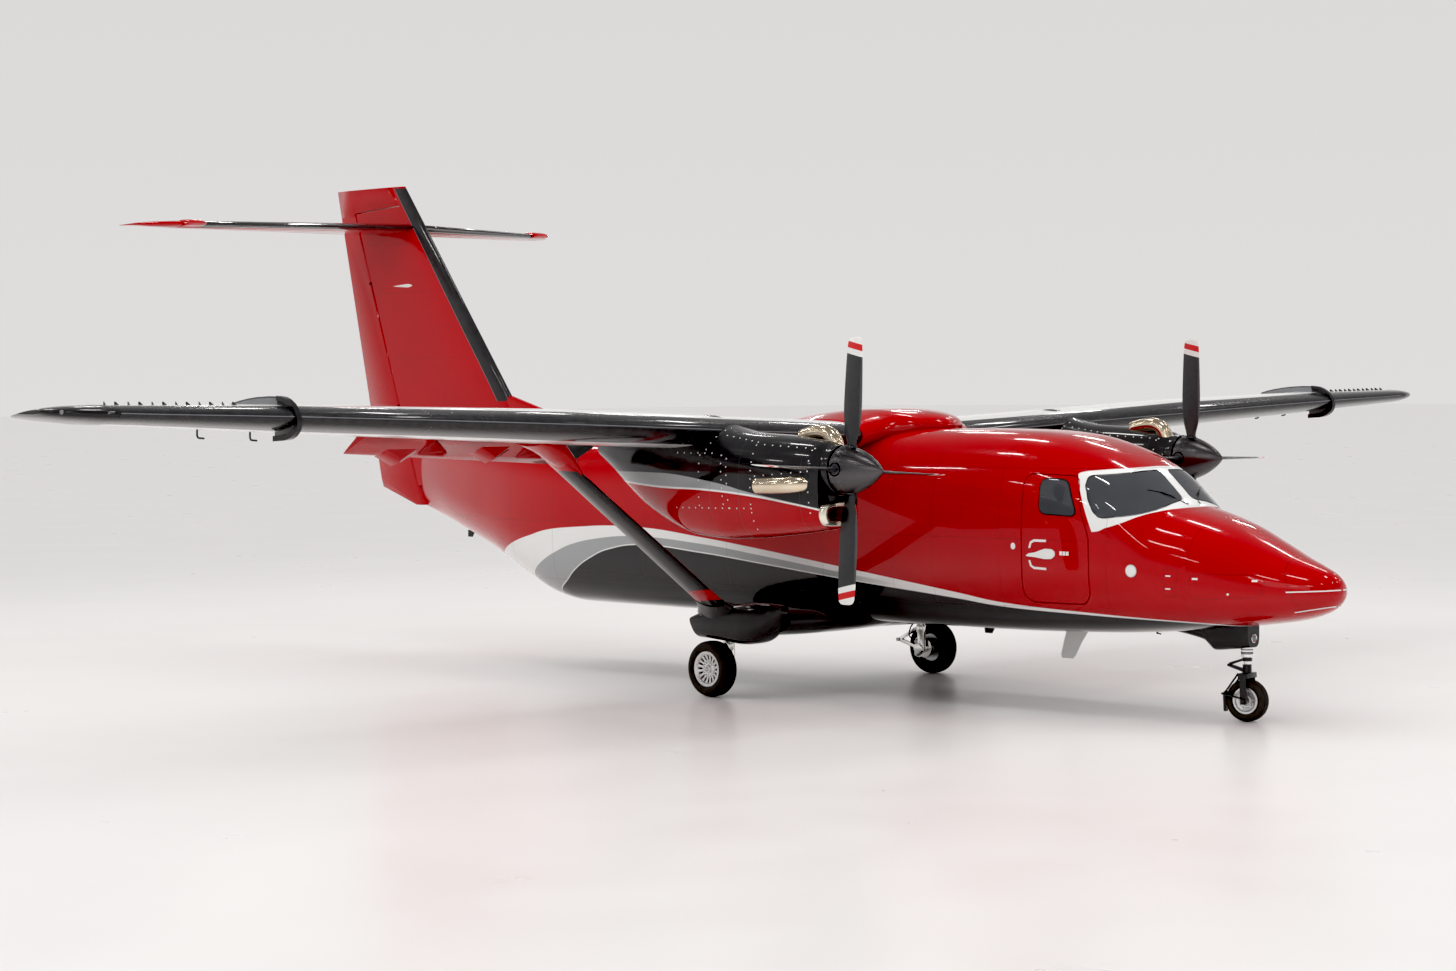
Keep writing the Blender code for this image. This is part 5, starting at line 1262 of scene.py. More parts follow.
# The fixed fin stops ahead of the rudder's nose and below the horn, and runs on down into the tail's end
fin = loft("fin_skin", [fin_ring(z) for z in np.linspace(2.22, 6.31, 26)])
bay = []
for z in (1.60, 5.975):
    bay.append([(x, y, z) for x, y in bay_round(hinge_at(z), 0.0, half_at(z) + MOVE_GAP + 0.004, 0.5, 1.8)])
cut(fin, loft("rudder_bay", bay))
HORN_FRONT = 0.235
cut(fin, prism("top_cut", [(-9.0, 5.974), (hinge_at(5.974) + 0.03, 5.974),
                           (horn_line(6.045) - HORN_FRONT, 6.040), (horn_line(6.40) - HORN_FRONT, 6.40),
                           (-9.0, 6.40)], "xz", -0.4, 0.4))
ready(fin, TAIL_PAINT, "airframe", ["fin"], 34.0)
DORSAL = [(-3.300, 2.960), (-3.420, 3.100), (-4.640, 3.432), (-4.900, 3.300), (-4.900, 2.900),
          (-3.500, 2.900)]
dorsal_rings = []
for y, d in ((-0.046, -0.050), (-0.036, -0.012), (-0.020, 0.0), (0.020, 0.0), (0.036, -0.012),
             (0.046, -0.050)):
    dorsal_rings.append([(x, y, z + (d if z > 2.95 else 0.0)) for x, z in DORSAL])
ready(loft("dorsal_fillet", dorsal_rings), RED_PAINT, "airframe", ["fin"], 34.0)
from_solid("rudder", "rudder_skin", RED_PAINT, 30.0, 0.002)
SURFACES = (("stabiliser", STAB_PAINT, "red_skin", 0.0), ("elevator", RED_PAINT, "red_skin", 0.0015),
            ("aileron", WING_PAINT, "white_skin", 0.0015), ("flap_inner", FLAP_PAINT, "red_skin", 0.0015),
            ("flap_outer", FLAP_PAINT, "red_skin", 0.0015))
for _, tag in SIDES:
    for label, paint, slot, bevel in SURFACES:
        from_solid(label + "_" + tag, label + "_skin_" + tag, paint, 30.0, bevel)
    engine = frame["nodes"]["engine_" + tag]
    engine.data.materials.clear()
    engine.data.materials.append(DARK_METAL)

# Horns at the stabiliser's tips
for side, tag in SIDES:
    rings = []
    for y, k, up in ((2.835, 0.86, 0.030), (2.850, 0.97, 0.046), (2.900, 1.0, 0.056), (3.060, 1.0, 0.052),
                     (3.098, 0.94, 0.040), (3.108, 0.80, 0.026)):
        front, rear = -7.440 - 0.16 * (1 - k), -7.985 + 0.10 * (1 - k)
        mid = TAIL_Z + 0.004
        run = [(0.0, 0.0), (0.06, 0.55), (0.20, 0.90), (0.45, 1.0), (0.75, 0.80), (1.0, 0.30)]
        top = [(front + (rear - front) * t, side * y, mid + up * h) for t, h in run]
        low = [(front + (rear - front) * t, side * y, mid - 0.040 * h) for t, h in reversed(run[1:])]
        rings.append(top + low)
    ready(loft("stabiliser_horn_" + tag, rings), RED_PAINT, "airframe", (), 40.0)

# Wing fence: a band round the leading edge and a sheet running aft above
FENCE_Y = 8.530
FENCE = [(1.205, 3.378), (1.310, 3.404), (1.420, 3.425), (1.560, 3.445), (1.700, 3.458), (1.900, 3.466),
         (2.080, 3.462), (2.160, 3.448), (2.220, 3.425), (2.285, 3.388), (2.330, 3.345), (2.368, 3.285),
         (2.388, 3.222), (2.384, 3.185), (2.370, 3.150), (2.340, 3.115), (2.300, 3.085), (2.245, 3.062),
         (2.180, 3.048), (1.998, 3.038), (1.998, 3.110), (1.998, 3.200), (1.300, 3.260)]
fence_rings = []
for y, d in ((-0.012, -0.004), (-0.009, 0.0), (0.009, 0.0), (0.012, -0.004)):
    fence_rings.append([(x, -FENCE_Y + y, z) for x, z in wider(FENCE, d)])
pair(loft("fence", fence_rings), "wing_fence_sheet_%s", FENCE_PAINT, "airframe", ["wing_fence_%s"],
     40.0)
BAND = [(2.050, 3.470), (2.165, 3.456), (2.228, 3.431), (2.292, 3.393), (2.338, 3.348), (2.377, 3.286),
        (2.397, 3.222), (2.393, 3.184), (2.379, 3.147), (2.348, 3.110), (2.307, 3.079), (2.250, 3.055),
        (2.183, 3.041), (1.992, 3.031)]
BAND_INNER = [(2.050, 3.425), (2.150, 3.412), (2.205, 3.390), (2.258, 3.358), (2.296, 3.320), (2.328, 3.268),
              (2.344, 3.220), (2.340, 3.196), (2.328, 3.172), (2.304, 3.145), (2.272, 3.120), (2.228, 3.103),
              (2.176, 3.092), (1.992, 3.084)]
BAND_LOW, BAND_HIGH = -FENCE_Y - 0.030, -FENCE_Y + 0.030
band = loft("band", [[(x, BAND_LOW, z), (x, BAND_HIGH, z), (u, BAND_HIGH, w), (u, BAND_LOW, w)]
                     for (x, z), (u, w) in zip(BAND, BAND_INNER)])
pair(band, "wing_fence_band_%s", BLACK_PAINT, "airframe", [], 30.0)

# Strut, its red head fairing and its foot fairing on the pod
STRUT_LOW = Vector((1.230, -1.800, 0.930))
STRUT_TOP = Vector((1.640, -5.000, 3.000))
LENS = [(0.5 * cos(pi * k / 18),
         0.5 * sin(pi * k / 18) * (1.0 if k <= 9 else 0.5 + 0.5 * (18 - k) / 9.0) * 2.0) for k in range(19)]


def strut_ring(p, chord, thick):
    # the strut's section at p, square to its run
    axis = (STRUT_TOP - STRUT_LOW).normalized()
    fore = Vector((1, 0, 0))
    fore = (fore - axis * fore.dot(axis)).normalized()
    side = axis.cross(fore).normalized()
    form = LENS + [(c, -h) for c, h in reversed(LENS[1:-1])]
    return [Vector(p) + fore * chord * c + side * (thick * 0.5 * h) for c, h in form]


strut = loft("strut", [strut_ring(STRUT_LOW.lerp(STRUT_TOP, t), 0.43 - 0.09 * t, 0.115 - 0.010 * t)
                       for t in np.linspace(0.0, 1.0, 24)])
pair(strut, "wing_strut_skin_%s", STRUT_PAINT, "airframe", ["wing_strut_%s"], 40.0)
head_rows = [((1.630, -5.060, 2.955), 0.44, 0.10), ((1.625, -4.86, 2.925), 0.43, 0.20),
             ((1.620, -4.70, 2.870), 0.41, 0.26), ((1.600, -4.56, 2.770), 0.39, 0.20),
             ((1.585, -4.46, 2.672), 0.37, 0.11), ((1.575, -4.40, 2.615), 0.35, 0.09)]
head = loft("head", [strut_ring(p, c, t) for p, c, t in head_rows])
pair(head, "strut_head_%s", RED_PAINT, "airframe", [], 50.0)
foot_rows = [((1.262, -2.06, 1.098), 0.445, 0.130), ((1.258, -2.02, 1.072), 0.47, 0.150),
             ((1.252, -1.97, 1.035), 0.52, 0.185), ((1.245, -1.92, 0.995), 0.60, 0.240),
             ((1.240, -1.86, 0.950), 0.72, 0.30)]
foot = loft("foot", [strut_ring(p, c, t) for p, c, t in foot_rows])
pair(foot, "strut_foot_fairing_%s", BLACK_PAINT, "airframe", [], 50.0)

# Gear pods and their stubs
POD = [
    (2.156, 0.990, 1.030, 0.020, 1.010, 2.2, 2.2),
    (2.150, 0.960, 1.060, 0.060, 1.010, 2.4, 2.4),
    (2.080, 0.840, 1.080, 0.120, 0.960, 2.6, 2.6),
    (1.960, 0.720, 1.090, 0.175, 0.880, 2.8, 2.8),
    (1.800, 0.642, 1.092, 0.210, 0.840, 3.2, 3.2),
    (1.600, 0.616, 1.075, 0.228, 0.830, 3.4, 3.4),
    (1.300, 0.640, 1.035, 0.228, 0.830, 3.4, 3.4),
    (1.080, 0.655, 0.993, 0.220, 0.830, 3.4, 3.4),
    (0.930, 0.662, 0.955, 0.205, 0.820, 3.4, 3.4),
    (0.720, 0.665, 0.880, 0.175, 0.790, 3.4, 3.4),
]
POD_Y = -1.760
pod = loft("pod", [body_ring(r, 56, POD_Y) for r in dense_rows(POD, 40, (1, 1, 1, 1, 0, 0, 0))])
cut(pod, prism("rear", [(0.300, 0.500), (1.031, 0.500), (0.640, 1.100), (0.300, 1.100)], "xz", -2.2, -1.3))
pair(pod, "gear_pod_skin_%s", BLACK_PAINT, "airframe", ["gear_pod_%s"], 34.0)
STUB = [(2.420, 0.900), (2.250, 1.005), (1.900, 1.068), (1.300, 1.072), (0.750, 0.980), (0.500, 0.880),
        (0.750, 0.775), (1.300, 0.684), (1.700, 0.690), (2.080, 0.730), (2.310, 0.790)]
STUB_C = (1.320, 0.860)
STUB_ROWS = [(-0.0002, 0.90), (-0.700, 1.0), (-1.150, 1.0), (-1.700, 0.80)]
stub_outline = rounded(STUB, 0.25, 4)
stub_rings = []
for y, k in dense_rows(STUB_ROWS, 18, (1, 1)):
    tall = 0.7 + 0.3 * k
    stub_rings.append([(STUB_C[0] + (x - STUB_C[0]) * k, y, STUB_C[1] + (z - STUB_C[1]) * tall)
                       for x, z in stub_outline])
stub = loft("stub", stub_rings)
pair(stub, "gear_stub_skin_%s", BLACK_PAINT, "airframe", ["gear_pod_%s"], 34.0)

# Main wheels: distance from the wheel's middle as a share of its width, radius as a share of the wheel's
TYRE = [(0.0, 0.998), (0.20, 0.990), (0.34, 0.962), (0.445, 0.905), (0.50, 0.820), (0.495, 0.745),
        (0.45, 0.680), (0.40, 0.640)]
GROOVES = (-0.27, -0.09, 0.09, 0.27)


def tyre_profile(r, w, groove_w=0.005, groove_d=0.006):
    rows = dense_rows(TYRE, 22, (1, 1))
    edge = [(-a, b) for a, b in reversed(rows[1:])] + [tuple(v) for v in rows]
    out = [(a * w, b * r) for a, b in edge]
    pts = []
    marks = [g * w for g in GROOVES]
    for p, q in zip(out, out[1:]):
        pts.append(p)
        for g in marks:
            if p[0] < g <= q[0] and p[1] > 0.93 * r:
                f = (g - p[0]) / (q[0] - p[0])
                rad = p[1] + (q[1] - p[1]) * f
                pts += [(g - groove_w, rad), (g - groove_w * 0.6, rad - groove_d),
                        (g + groove_w * 0.6, rad - groove_d), (g + groove_w, rad)]
    pts.append(out[-1])
    pts += [(0.36 * w, 0.625 * r), (-0.36 * w, 0.625 * r)]
    return pts + [pts[0]]


def face_slots(count, r_in, r_out, half_in, half_out, centre, lo, hi, phase=0.0):
    # radial slots through a disc
    tools = []
    for k in range(count):
        a = 2 * pi * k / count + phase
        c, s = cos(a), sin(a)
        outline = rounded([(r_in, -half_in), (r_out, -half_out), (r_out, half_out), (r_in, half_in)],
                          half_in * 0.9, 3)
        rings = []
        for y in (lo, hi):
            rings.append([(centre[0] + u * c - v * s, y, centre[1] + u * s + v * c) for u, v in outline])
        tools.append(loft("slot", rings))
    return as_one("slots", tools)


def main_wheel(side, tag):
    y = side * WHEEL_Y
    c = (WHEEL_X, y, WHEEL_R)
    w, r = 0.240, WHEEL_R
    d = (0, side, 0)
    tyre = turned("tyre_" + tag, tyre_profile(r, w), d, c, 90)
    ready(tyre, RUBBER, "main_wheel_" + tag, ["main_wheel_" + tag], 40.0)
    # outer half of the rim: a dished disc with a ring of slots
    disc = turned("rim_face_" + tag, [(0.060, 0.026), (0.060, 0.062), (0.050, 0.074), (0.056, 0.110),
                                      (0.068, 0.150), (0.074, 0.160), (0.086, 0.166), (0.092, 0.175),
                                      (0.098, 0.197), (0.094, 0.203), (0.060, 0.203), (0.052, 0.166),
                                      (0.030, 0.150), (0.030, 0.026), (0.060, 0.026)], d, c, 96)
    lo, hi = sorted((y, y + side * 0.15))
    cut(disc, face_slots(16, 0.104, 0.158, 0.0100, 0.0140, (WHEEL_X, WHEEL_R), lo, hi))
    cut(disc, face_slots(16, 0.078, 0.092, 0.0060, 0.0065, (WHEEL_X, WHEEL_R), lo, hi, pi / 16))
    # the inner barrel is satin black as painted shade, so the rim's slots read dark
    barrel = turned("rim_barrel_" + tag, [(-0.098, 0.205), (-0.094, 0.190), (-0.060, 0.182), (0.030, 0.182),
                                          (0.030, 0.196), (-0.060, 0.199), (-0.090, 0.207), (-0.098, 0.205)],
                    d, c, 72)
    hub = turned("hub", [(-0.060, 0.0245), (-0.060, 0.052), (0.050, 0.052), (0.072, 0.048), (0.086, 0.040),
                         (0.090, 0.030), (0.090, 0.006), (0.072, 0.0245), (-0.060, 0.0245)], d, c, 40)
    rim = as_one("rim_" + tag, [disc, hub])
    ready(rim, RIM_WHITE, "main_wheel_" + tag, [], 32.0)
    ready(barrel, SATIN_BLACK, "main_wheel_" + tag, [], 32.0)
    nuts = []
    for k in range(16):
        a = 2 * pi * k / 16
        p = Vector((WHEEL_X + 0.098 * cos(a), y + side * 0.052, WHEEL_R + 0.098 * sin(a)))
        nuts.append(turned("nut", [(0.0, 0.0065), (0.007, 0.0065), (0.009, 0.004)], d, p, 6))
    nuts.append(turned("cap", [(0.088, 0.028), (0.094, 0.028), (0.100, 0.022), (0.102, 0.010)], d, c, 32))
    ready(as_one("rim_nuts_" + tag, nuts), STEEL, "main_wheel_" + tag, [], 30.0)
    back = turned("brake_rotor_" + tag, [(-0.052, 0.050), (-0.052, 0.165), (-0.046, 0.165), (-0.046, 0.050),
                                         (-0.052, 0.050)], d, c, 60)
    ready(back, STEEL, "main_wheel_" + tag, [], 30.0)


for side, tag in SIDES:
    main_wheel(side, tag)
    from_solid("main_leg_" + tag, "main_leg_forging_" + tag, BRIGHT, 30.0, 0.003)

# Brake calipers, links' eyes and hoses beside each leg
for side, tag in SIDES:
    bits = []
    for dz in (0.075, -0.075):
        bits.append(turned("cylinder", [(0.0, 0.026), (0.004, 0.029), (0.044, 0.029), (0.050, 0.022)],
                           (0, -side, 0), (WHEEL_X - 0.095, side * 1.708, WHEEL_R + dz), 24))
    bits.append(prism("caliper", rounded([(WHEEL_X - 0.150, WHEEL_R - 0.115),
                                          (WHEEL_X - 0.055, WHEEL_R - 0.125),
                                          (WHEEL_X - 0.050, WHEEL_R + 0.125),
                                          (WHEEL_X - 0.150, WHEEL_R + 0.115)], 0.03, 4), "xz",
                      *sorted((side * 1.712, side * 1.748))))
    bits.append(turned("eye", [(-0.034, 0.022), (0.034, 0.022)], (0, 1, 0), (0.752, side * 1.640, 0.408), 20))
    bits.append(turned("eye", [(-0.036, 0.024), (0.036, 0.024)], (0, 1, 0), (1.090, side * 1.640, 0.586), 20))
    bits.append(turned("eye", [(-0.036, 0.024), (0.036, 0.024)], (0, 1, 0), (1.088, side * 1.640, 0.318), 20))
    ready(as_one("brake_caliper_" + tag, bits), STEEL, "airframe", [], 30.0)
    hose = pipe("brake_hose_" + tag, [(1.045, side * 1.600, 0.640), (0.985, side * 1.590, 0.560),
                                      (0.955, side * 1.600, 0.470), (0.985, side * 1.640, 0.420),
                                      (1.000, side * 1.690, 0.400)], 0.008, 10, 7)
    ready(hose, SEAL, "airframe", [], 60.0)
    line = pipe("brake_line_" + tag, [(1.165, side * 1.600, 0.650), (1.185, side * 1.600, 0.520),
                                      (1.180, side * 1.615, 0.380), (1.120, side * 1.680, 0.330)],
                0.004, 8, 6)
    ready(line, BRIGHT, "airframe", [], 60.0)

# Nose gear fairing with its lamp, leg, fork and wheel
BAY = [
    (7.240, 0.775, 1.250, 0.100, 1.000, 3.4, 4.0),
    (7.150, 0.760, 1.250, 0.125, 1.000, 3.4, 4.0),
    (6.980, 0.742, 1.200, 0.140, 1.000, 3.4, 3.8),
    (6.800, 0.726, 1.150, 0.135, 1.000, 3.2, 3.6),
    (6.740, 0.762, 1.150, 0.125, 1.000, 3.0, 3.4),
    (6.660, 0.820, 1.120, 0.115, 1.000, 3.0, 3.2),
    (6.520, 0.853, 1.100, 0.110, 1.000, 3.0, 3.0),
    (6.360, 0.880, 1.080, 0.100, 1.000, 3.0, 3.0),
    (6.250, 0.892, 1.060, 0.085, 1.000, 2.6, 2.6),
]
fairing = loft("nose_fairing_skin", [body_ring(r, 56) for r in dense_rows(BAY, 34, (1, 1, 0, 1, 0, 0, 0))])
ready(fairing, BLACK_PAINT, "airframe", ["nose_gear_fairing"], 36.0)
NOSE_LAMP = (7.238, 0.000, 0.868)
lamp_cup = turned("nose_lamp_rim", [(-0.010, 0.047), (0.010, 0.047), (0.014, 0.042), (0.010, 0.037),
                                    (-0.010, 0.037), (-0.010, 0.047)], (1, 0, 0), NOSE_LAMP, 40)
ready(lamp_cup, CHROME, "airframe", [], 40.0)
lens = turned("nose_lamp_lens", [(-0.008, 0.038), (0.004, 0.038), (0.010, 0.026), (0.013, 0.010),
                                 (0.0135, 0.002)], (1, 0, 0), NOSE_LAMP, 40)
ready(lens, CLEAR, "airframe", [], 60.0)
from_solid("nose_leg", "nose_oleo", CHROME, 30.0, 0.001)
from_solid("nose_fork", "nose_fork_forging", SATIN_BLACK, 30.0, 0.003)
to_hub = Matrix.Translation((NOSE_X + SHIFT_X, 0, 0))
from_hub = Matrix.Translation((-NOSE_X - SHIFT_X, 0, 0))
turn_z = to_hub @ Matrix.Rotation(NOSE_TURN, 4, "Z") @ from_hub


def steered(ob):
    # turned with the nose wheel, which stands to one side at rest
    ob.data.transform(turn_z)
    return ob


nose_hub = (NOSE_X, 0.0, NOSE_R)
nose_tyre = turned("nose_tyre", tyre_profile(NOSE_R, 0.165, 0.004, 0.004), (0, -1, 0), nose_hub, 84)
ready(steered(nose_tyre), RUBBER, "nose_wheel", ["nose_wheel"], 40.0)
nose_rim = turned("nose_rim", [(0.052, 0.024), (0.052, 0.046), (0.040, 0.056), (0.042, 0.092), (0.052, 0.112),
                               (0.060, 0.118), (0.062, 0.137), (0.058, 0.141), (-0.058, 0.141),
                               (-0.062, 0.137), (-0.060, 0.118), (-0.046, 0.108), (-0.036, 0.060),
                               (-0.046, 0.046), (-0.046, 0.024), (0.052, 0.024)], (0, -1, 0), nose_hub, 80)
cut(nose_rim, face_slots(10, 0.068, 0.084, 0.0075, 0.0080, (NOSE_X, NOSE_R), -0.15, 0.15))
ready(steered(nose_rim), RIM_WHITE, "nose_wheel", [], 32.0)
bolts = []
for k in range(10):
    a = 2 * pi * (k + 0.5) / 10
    for sgn in (-1, 1):
        p = (NOSE_X + 0.076 * cos(a), sgn * 0.040, NOSE_R + 0.076 * sin(a))
        bolts.append(turned("bolt", [(0.0, 0.005), (0.006, 0.005), (0.008, 0.003)], (0, sgn, 0), p, 6))
ready(steered(as_one("nose_rim_bolts", bolts)), STEEL, "nose_wheel", [], 30.0)
# tow fitting, links' pins and the damper behind the fork, which steer with it
tow = rounded([(NOSE_X - 0.258, 0.100), (NOSE_X - 0.230, 0.095), (NOSE_X - 0.230, 0.290),
               (NOSE_X - 0.240, 0.315), (NOSE_X - 0.264, 0.290)], 0.012, 3)
bits = [prism("tow", tow, "xz", -0.028, 0.028),
        rod("arm", (NOSE_X - 0.235, -0.108, 0.290), (NOSE_X - 0.020, -0.122, 0.250), 0.011, 12),
        rod("arm", (NOSE_X - 0.235, 0.108, 0.290), (NOSE_X - 0.020, 0.122, 0.250), 0.011, 12),
        rod("bar", (NOSE_X - 0.235, -0.110, 0.290), (NOSE_X - 0.235, 0.110, 0.290), 0.012, 12),
        rod("stay", (NOSE_X - 0.235, -0.060, 0.285), (NOSE_X - 0.075, -0.060, 0.500), 0.010, 12),
        rod("stay", (NOSE_X - 0.235, 0.060, 0.285), (NOSE_X - 0.075, 0.060, 0.500), 0.010, 12),
        turned("pin", [(-0.030, 0.014), (0.030, 0.014)], (0, 1, 0), (NOSE_X - 0.198, 0, 0.582), 16),
        turned("pin", [(-0.134, 0.020), (-0.128, 0.026), (0.128, 0.026), (0.134, 0.020)], (0, 1, 0),
               (NOSE_X, 0, NOSE_R), 24)]
ready(steered(as_one("nose_tow_fitting", bits)), SATIN_BLACK, "nose_fork", [], 32.0)
rings = []
for z in (0.702, 0.716, 0.744):
    rings.append(turned("ring", [(0.0, 0.034), (0.0, 0.063), (0.010, 0.063), (0.010, 0.034), (0.0, 0.034)],
                        (0, 0, 1), (NOSE_X, 0, z), 40))
ready(as_one("nose_leg_collars", rings), SATIN_BLACK, "airframe", [], 32.0)


# What repeats: heads of fasteners on a skin, set by a node tree on points that carry the skin's direction
def stud_tree():
    tree = bpy.data.node_groups.new("fastener_heads", "GeometryNodeTree")
    tree.interface.new_socket("Geometry", in_out="INPUT", socket_type="NodeSocketGeometry")
    sizes = {}
    for label, value in (("Head radius", 0.006), ("Head height", 0.003)):
        socket = tree.interface.new_socket(label, in_out="INPUT", socket_type="NodeSocketFloat")
        socket.default_value = value
        sizes[label] = socket.identifier
    paint = tree.interface.new_socket("Paint", in_out="INPUT", socket_type="NodeSocketMaterial")
    sizes["Paint"] = paint.identifier
    tree.interface.new_socket("Geometry", in_out="OUTPUT", socket_type="NodeSocketGeometry")
    n, k = tree.nodes, tree.links
    start, end = n.new("NodeGroupInput"), n.new("NodeGroupOutput")
    head = n.new("GeometryNodeMeshCone")
    head.inputs["Vertices"].default_value = 8
    narrow = n.new("ShaderNodeMath")
    narrow.operation = "MULTIPLY"
    narrow.inputs[1].default_value = 0.6
    k.new(start.outputs["Head radius"], narrow.inputs[0])
    k.new(narrow.outputs[0], head.inputs["Radius Top"])
    k.new(start.outputs["Head radius"], head.inputs["Radius Bottom"])
    k.new(start.outputs["Head height"], head.inputs["Depth"])
    sink = n.new("GeometryNodeTransform")
    k.new(head.outputs["Mesh"], sink.inputs["Geometry"])
    sink.inputs["Translation"].default_value = (0.0, 0.0, -0.0008)
    aim = n.new("GeometryNodeInputNamedAttribute")
    aim.data_type = "FLOAT_VECTOR"
    aim.inputs["Name"].default_value = "aim"
    turn = n.new("FunctionNodeAlignRotationToVector")
    turn.axis = "Z"
    k.new(aim.outputs["Attribute"], turn.inputs["Vector"])
    place = n.new("GeometryNodeInstanceOnPoints")
    k.new(start.outputs["Geometry"], place.inputs["Points"])
    k.new(sink.outputs["Geometry"], place.inputs["Instance"])
    k.new(turn.outputs["Rotation"], place.inputs["Rotation"])
    real = n.new("GeometryNodeRealizeInstances")
    k.new(place.outputs["Instances"], real.inputs["Geometry"])
    coat = n.new("GeometryNodeSetMaterial")
    k.new(real.outputs["Geometry"], coat.inputs["Geometry"])
    k.new(start.outputs["Paint"], coat.inputs["Material"])
    k.new(coat.outputs["Geometry"], end.inputs["Geometry"])
    return tree, sizes


STUDS, STUD_SIZES = stud_tree()


def studs(name, spots, radius, height, material, body_name):
    # spots are pairs of place and outward direction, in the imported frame
    points = bpy.data.meshes.new(name)
    points.from_pydata([tuple(p) for p, _ in spots], [], [])
    aim = points.attributes.new("aim", "FLOAT_VECTOR", "POINT")
    for i, (_, n) in enumerate(spots):
        aim.data[i].vector = tuple(n)
    ob = bpy.data.objects.new(name, points)
    bpy.context.scene.collection.objects.link(ob)
    mod = ob.modifiers.new("heads", "NODES")
    mod.node_group = STUDS
    mod[STUD_SIZES["Head radius"]] = radius
    mod[STUD_SIZES["Head height"]] = height
    mod[STUD_SIZES["Paint"]] = material
    bpy.context.view_layer.update()
    made = bpy.data.meshes.new_from_object(ob.evaluated_get(bpy.context.evaluated_depsgraph_get()))
    ob.modifiers.clear()
    ob.data = made
    made.name = name
    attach(ob, body_name)
    return ob


def surface(names):
    verts, polys = [], []
    for label in names:
        me = bpy.data.objects[label].data
        base = len(verts)
        verts += [v.co.copy() for v in me.vertices]
        polys += [[base + i for i in p.vertices] for p in me.polygons]
    return BVHTree.FromPolygons(verts, polys)


def seat(tree, start, way):
    # where a ray meets the skin, as a list of none or one pair of place and outward direction
    hit, normal, _, _ = tree.ray_cast(Vector(start), Vector(way))
    return [(hit, normal)] if hit else []


def along(tree, rows, side, far):
    # rows of spots from one x, z to the next, thrown sideways on to the skin from y = far
    spots = []
    for (x0, z0), (x1, z1), count in rows:
        for k in range(count):
            t = k / max(count - 1, 1)
            start = (x0 + (x1 - x0) * t + SHIFT_X, far, z0 + (z1 - z0) * t)
            spots += seat(tree, start, (0, -side, 0))
    return spots


NACELLE_ROWS = [((2.745, 2.790), (2.790, 2.270), 7), ((2.825, 2.755), (2.868, 2.230), 7),
                ((3.190, 2.900), (3.190, 2.010), 11), ((2.420, 2.790), (2.425, 2.250), 7),
                ((2.050, 2.220), (3.190, 2.232), 12), ((2.060, 2.812), (2.600, 2.812), 6),
                ((2.700, 3.000), (3.190, 2.930), 6), ((2.500, 2.850), (2.640, 3.120), 5),
                ((3.300, 2.905), (3.960, 2.868), 7), ((3.940, 2.850), (3.975, 2.200), 7),
                ((3.255, 2.575), (3.870, 2.625), 6)]
for side, tag in SIDES:
    tree = surface(["nacelle_skin_" + tag])
    spots = along(tree, NACELLE_ROWS, side, side * 4.5) + along(tree, NACELLE_ROWS, -side, side * 1.25)
    studs("nacelle_fasteners_" + tag, spots, 0.0095, 0.0030, WHITE_PAINT, "airframe")
    # spinner's ring of fasteners, turning with the propeller
    ring = []
    for k in range(28):
        a = 2 * pi * k / 28
        for x, r in ((4.222, 0.2515), (4.300, 0.2365)):
            out = Vector((0.16, cos(a), sin(a))).normalized()
            ring.append((Vector((x + SHIFT_X, side * SHAFT_Y + r * cos(a), SHAFT_Z + r * sin(a))), out))
    tree = surface(["spinner_" + tag])
    seated = []
    for p, out in ring:
        seated += seat(tree, p + out * 0.2, -out)
    studs("spinner_fasteners_" + tag, seated, 0.0050, 0.0022, STEEL, "propeller_" + tag)

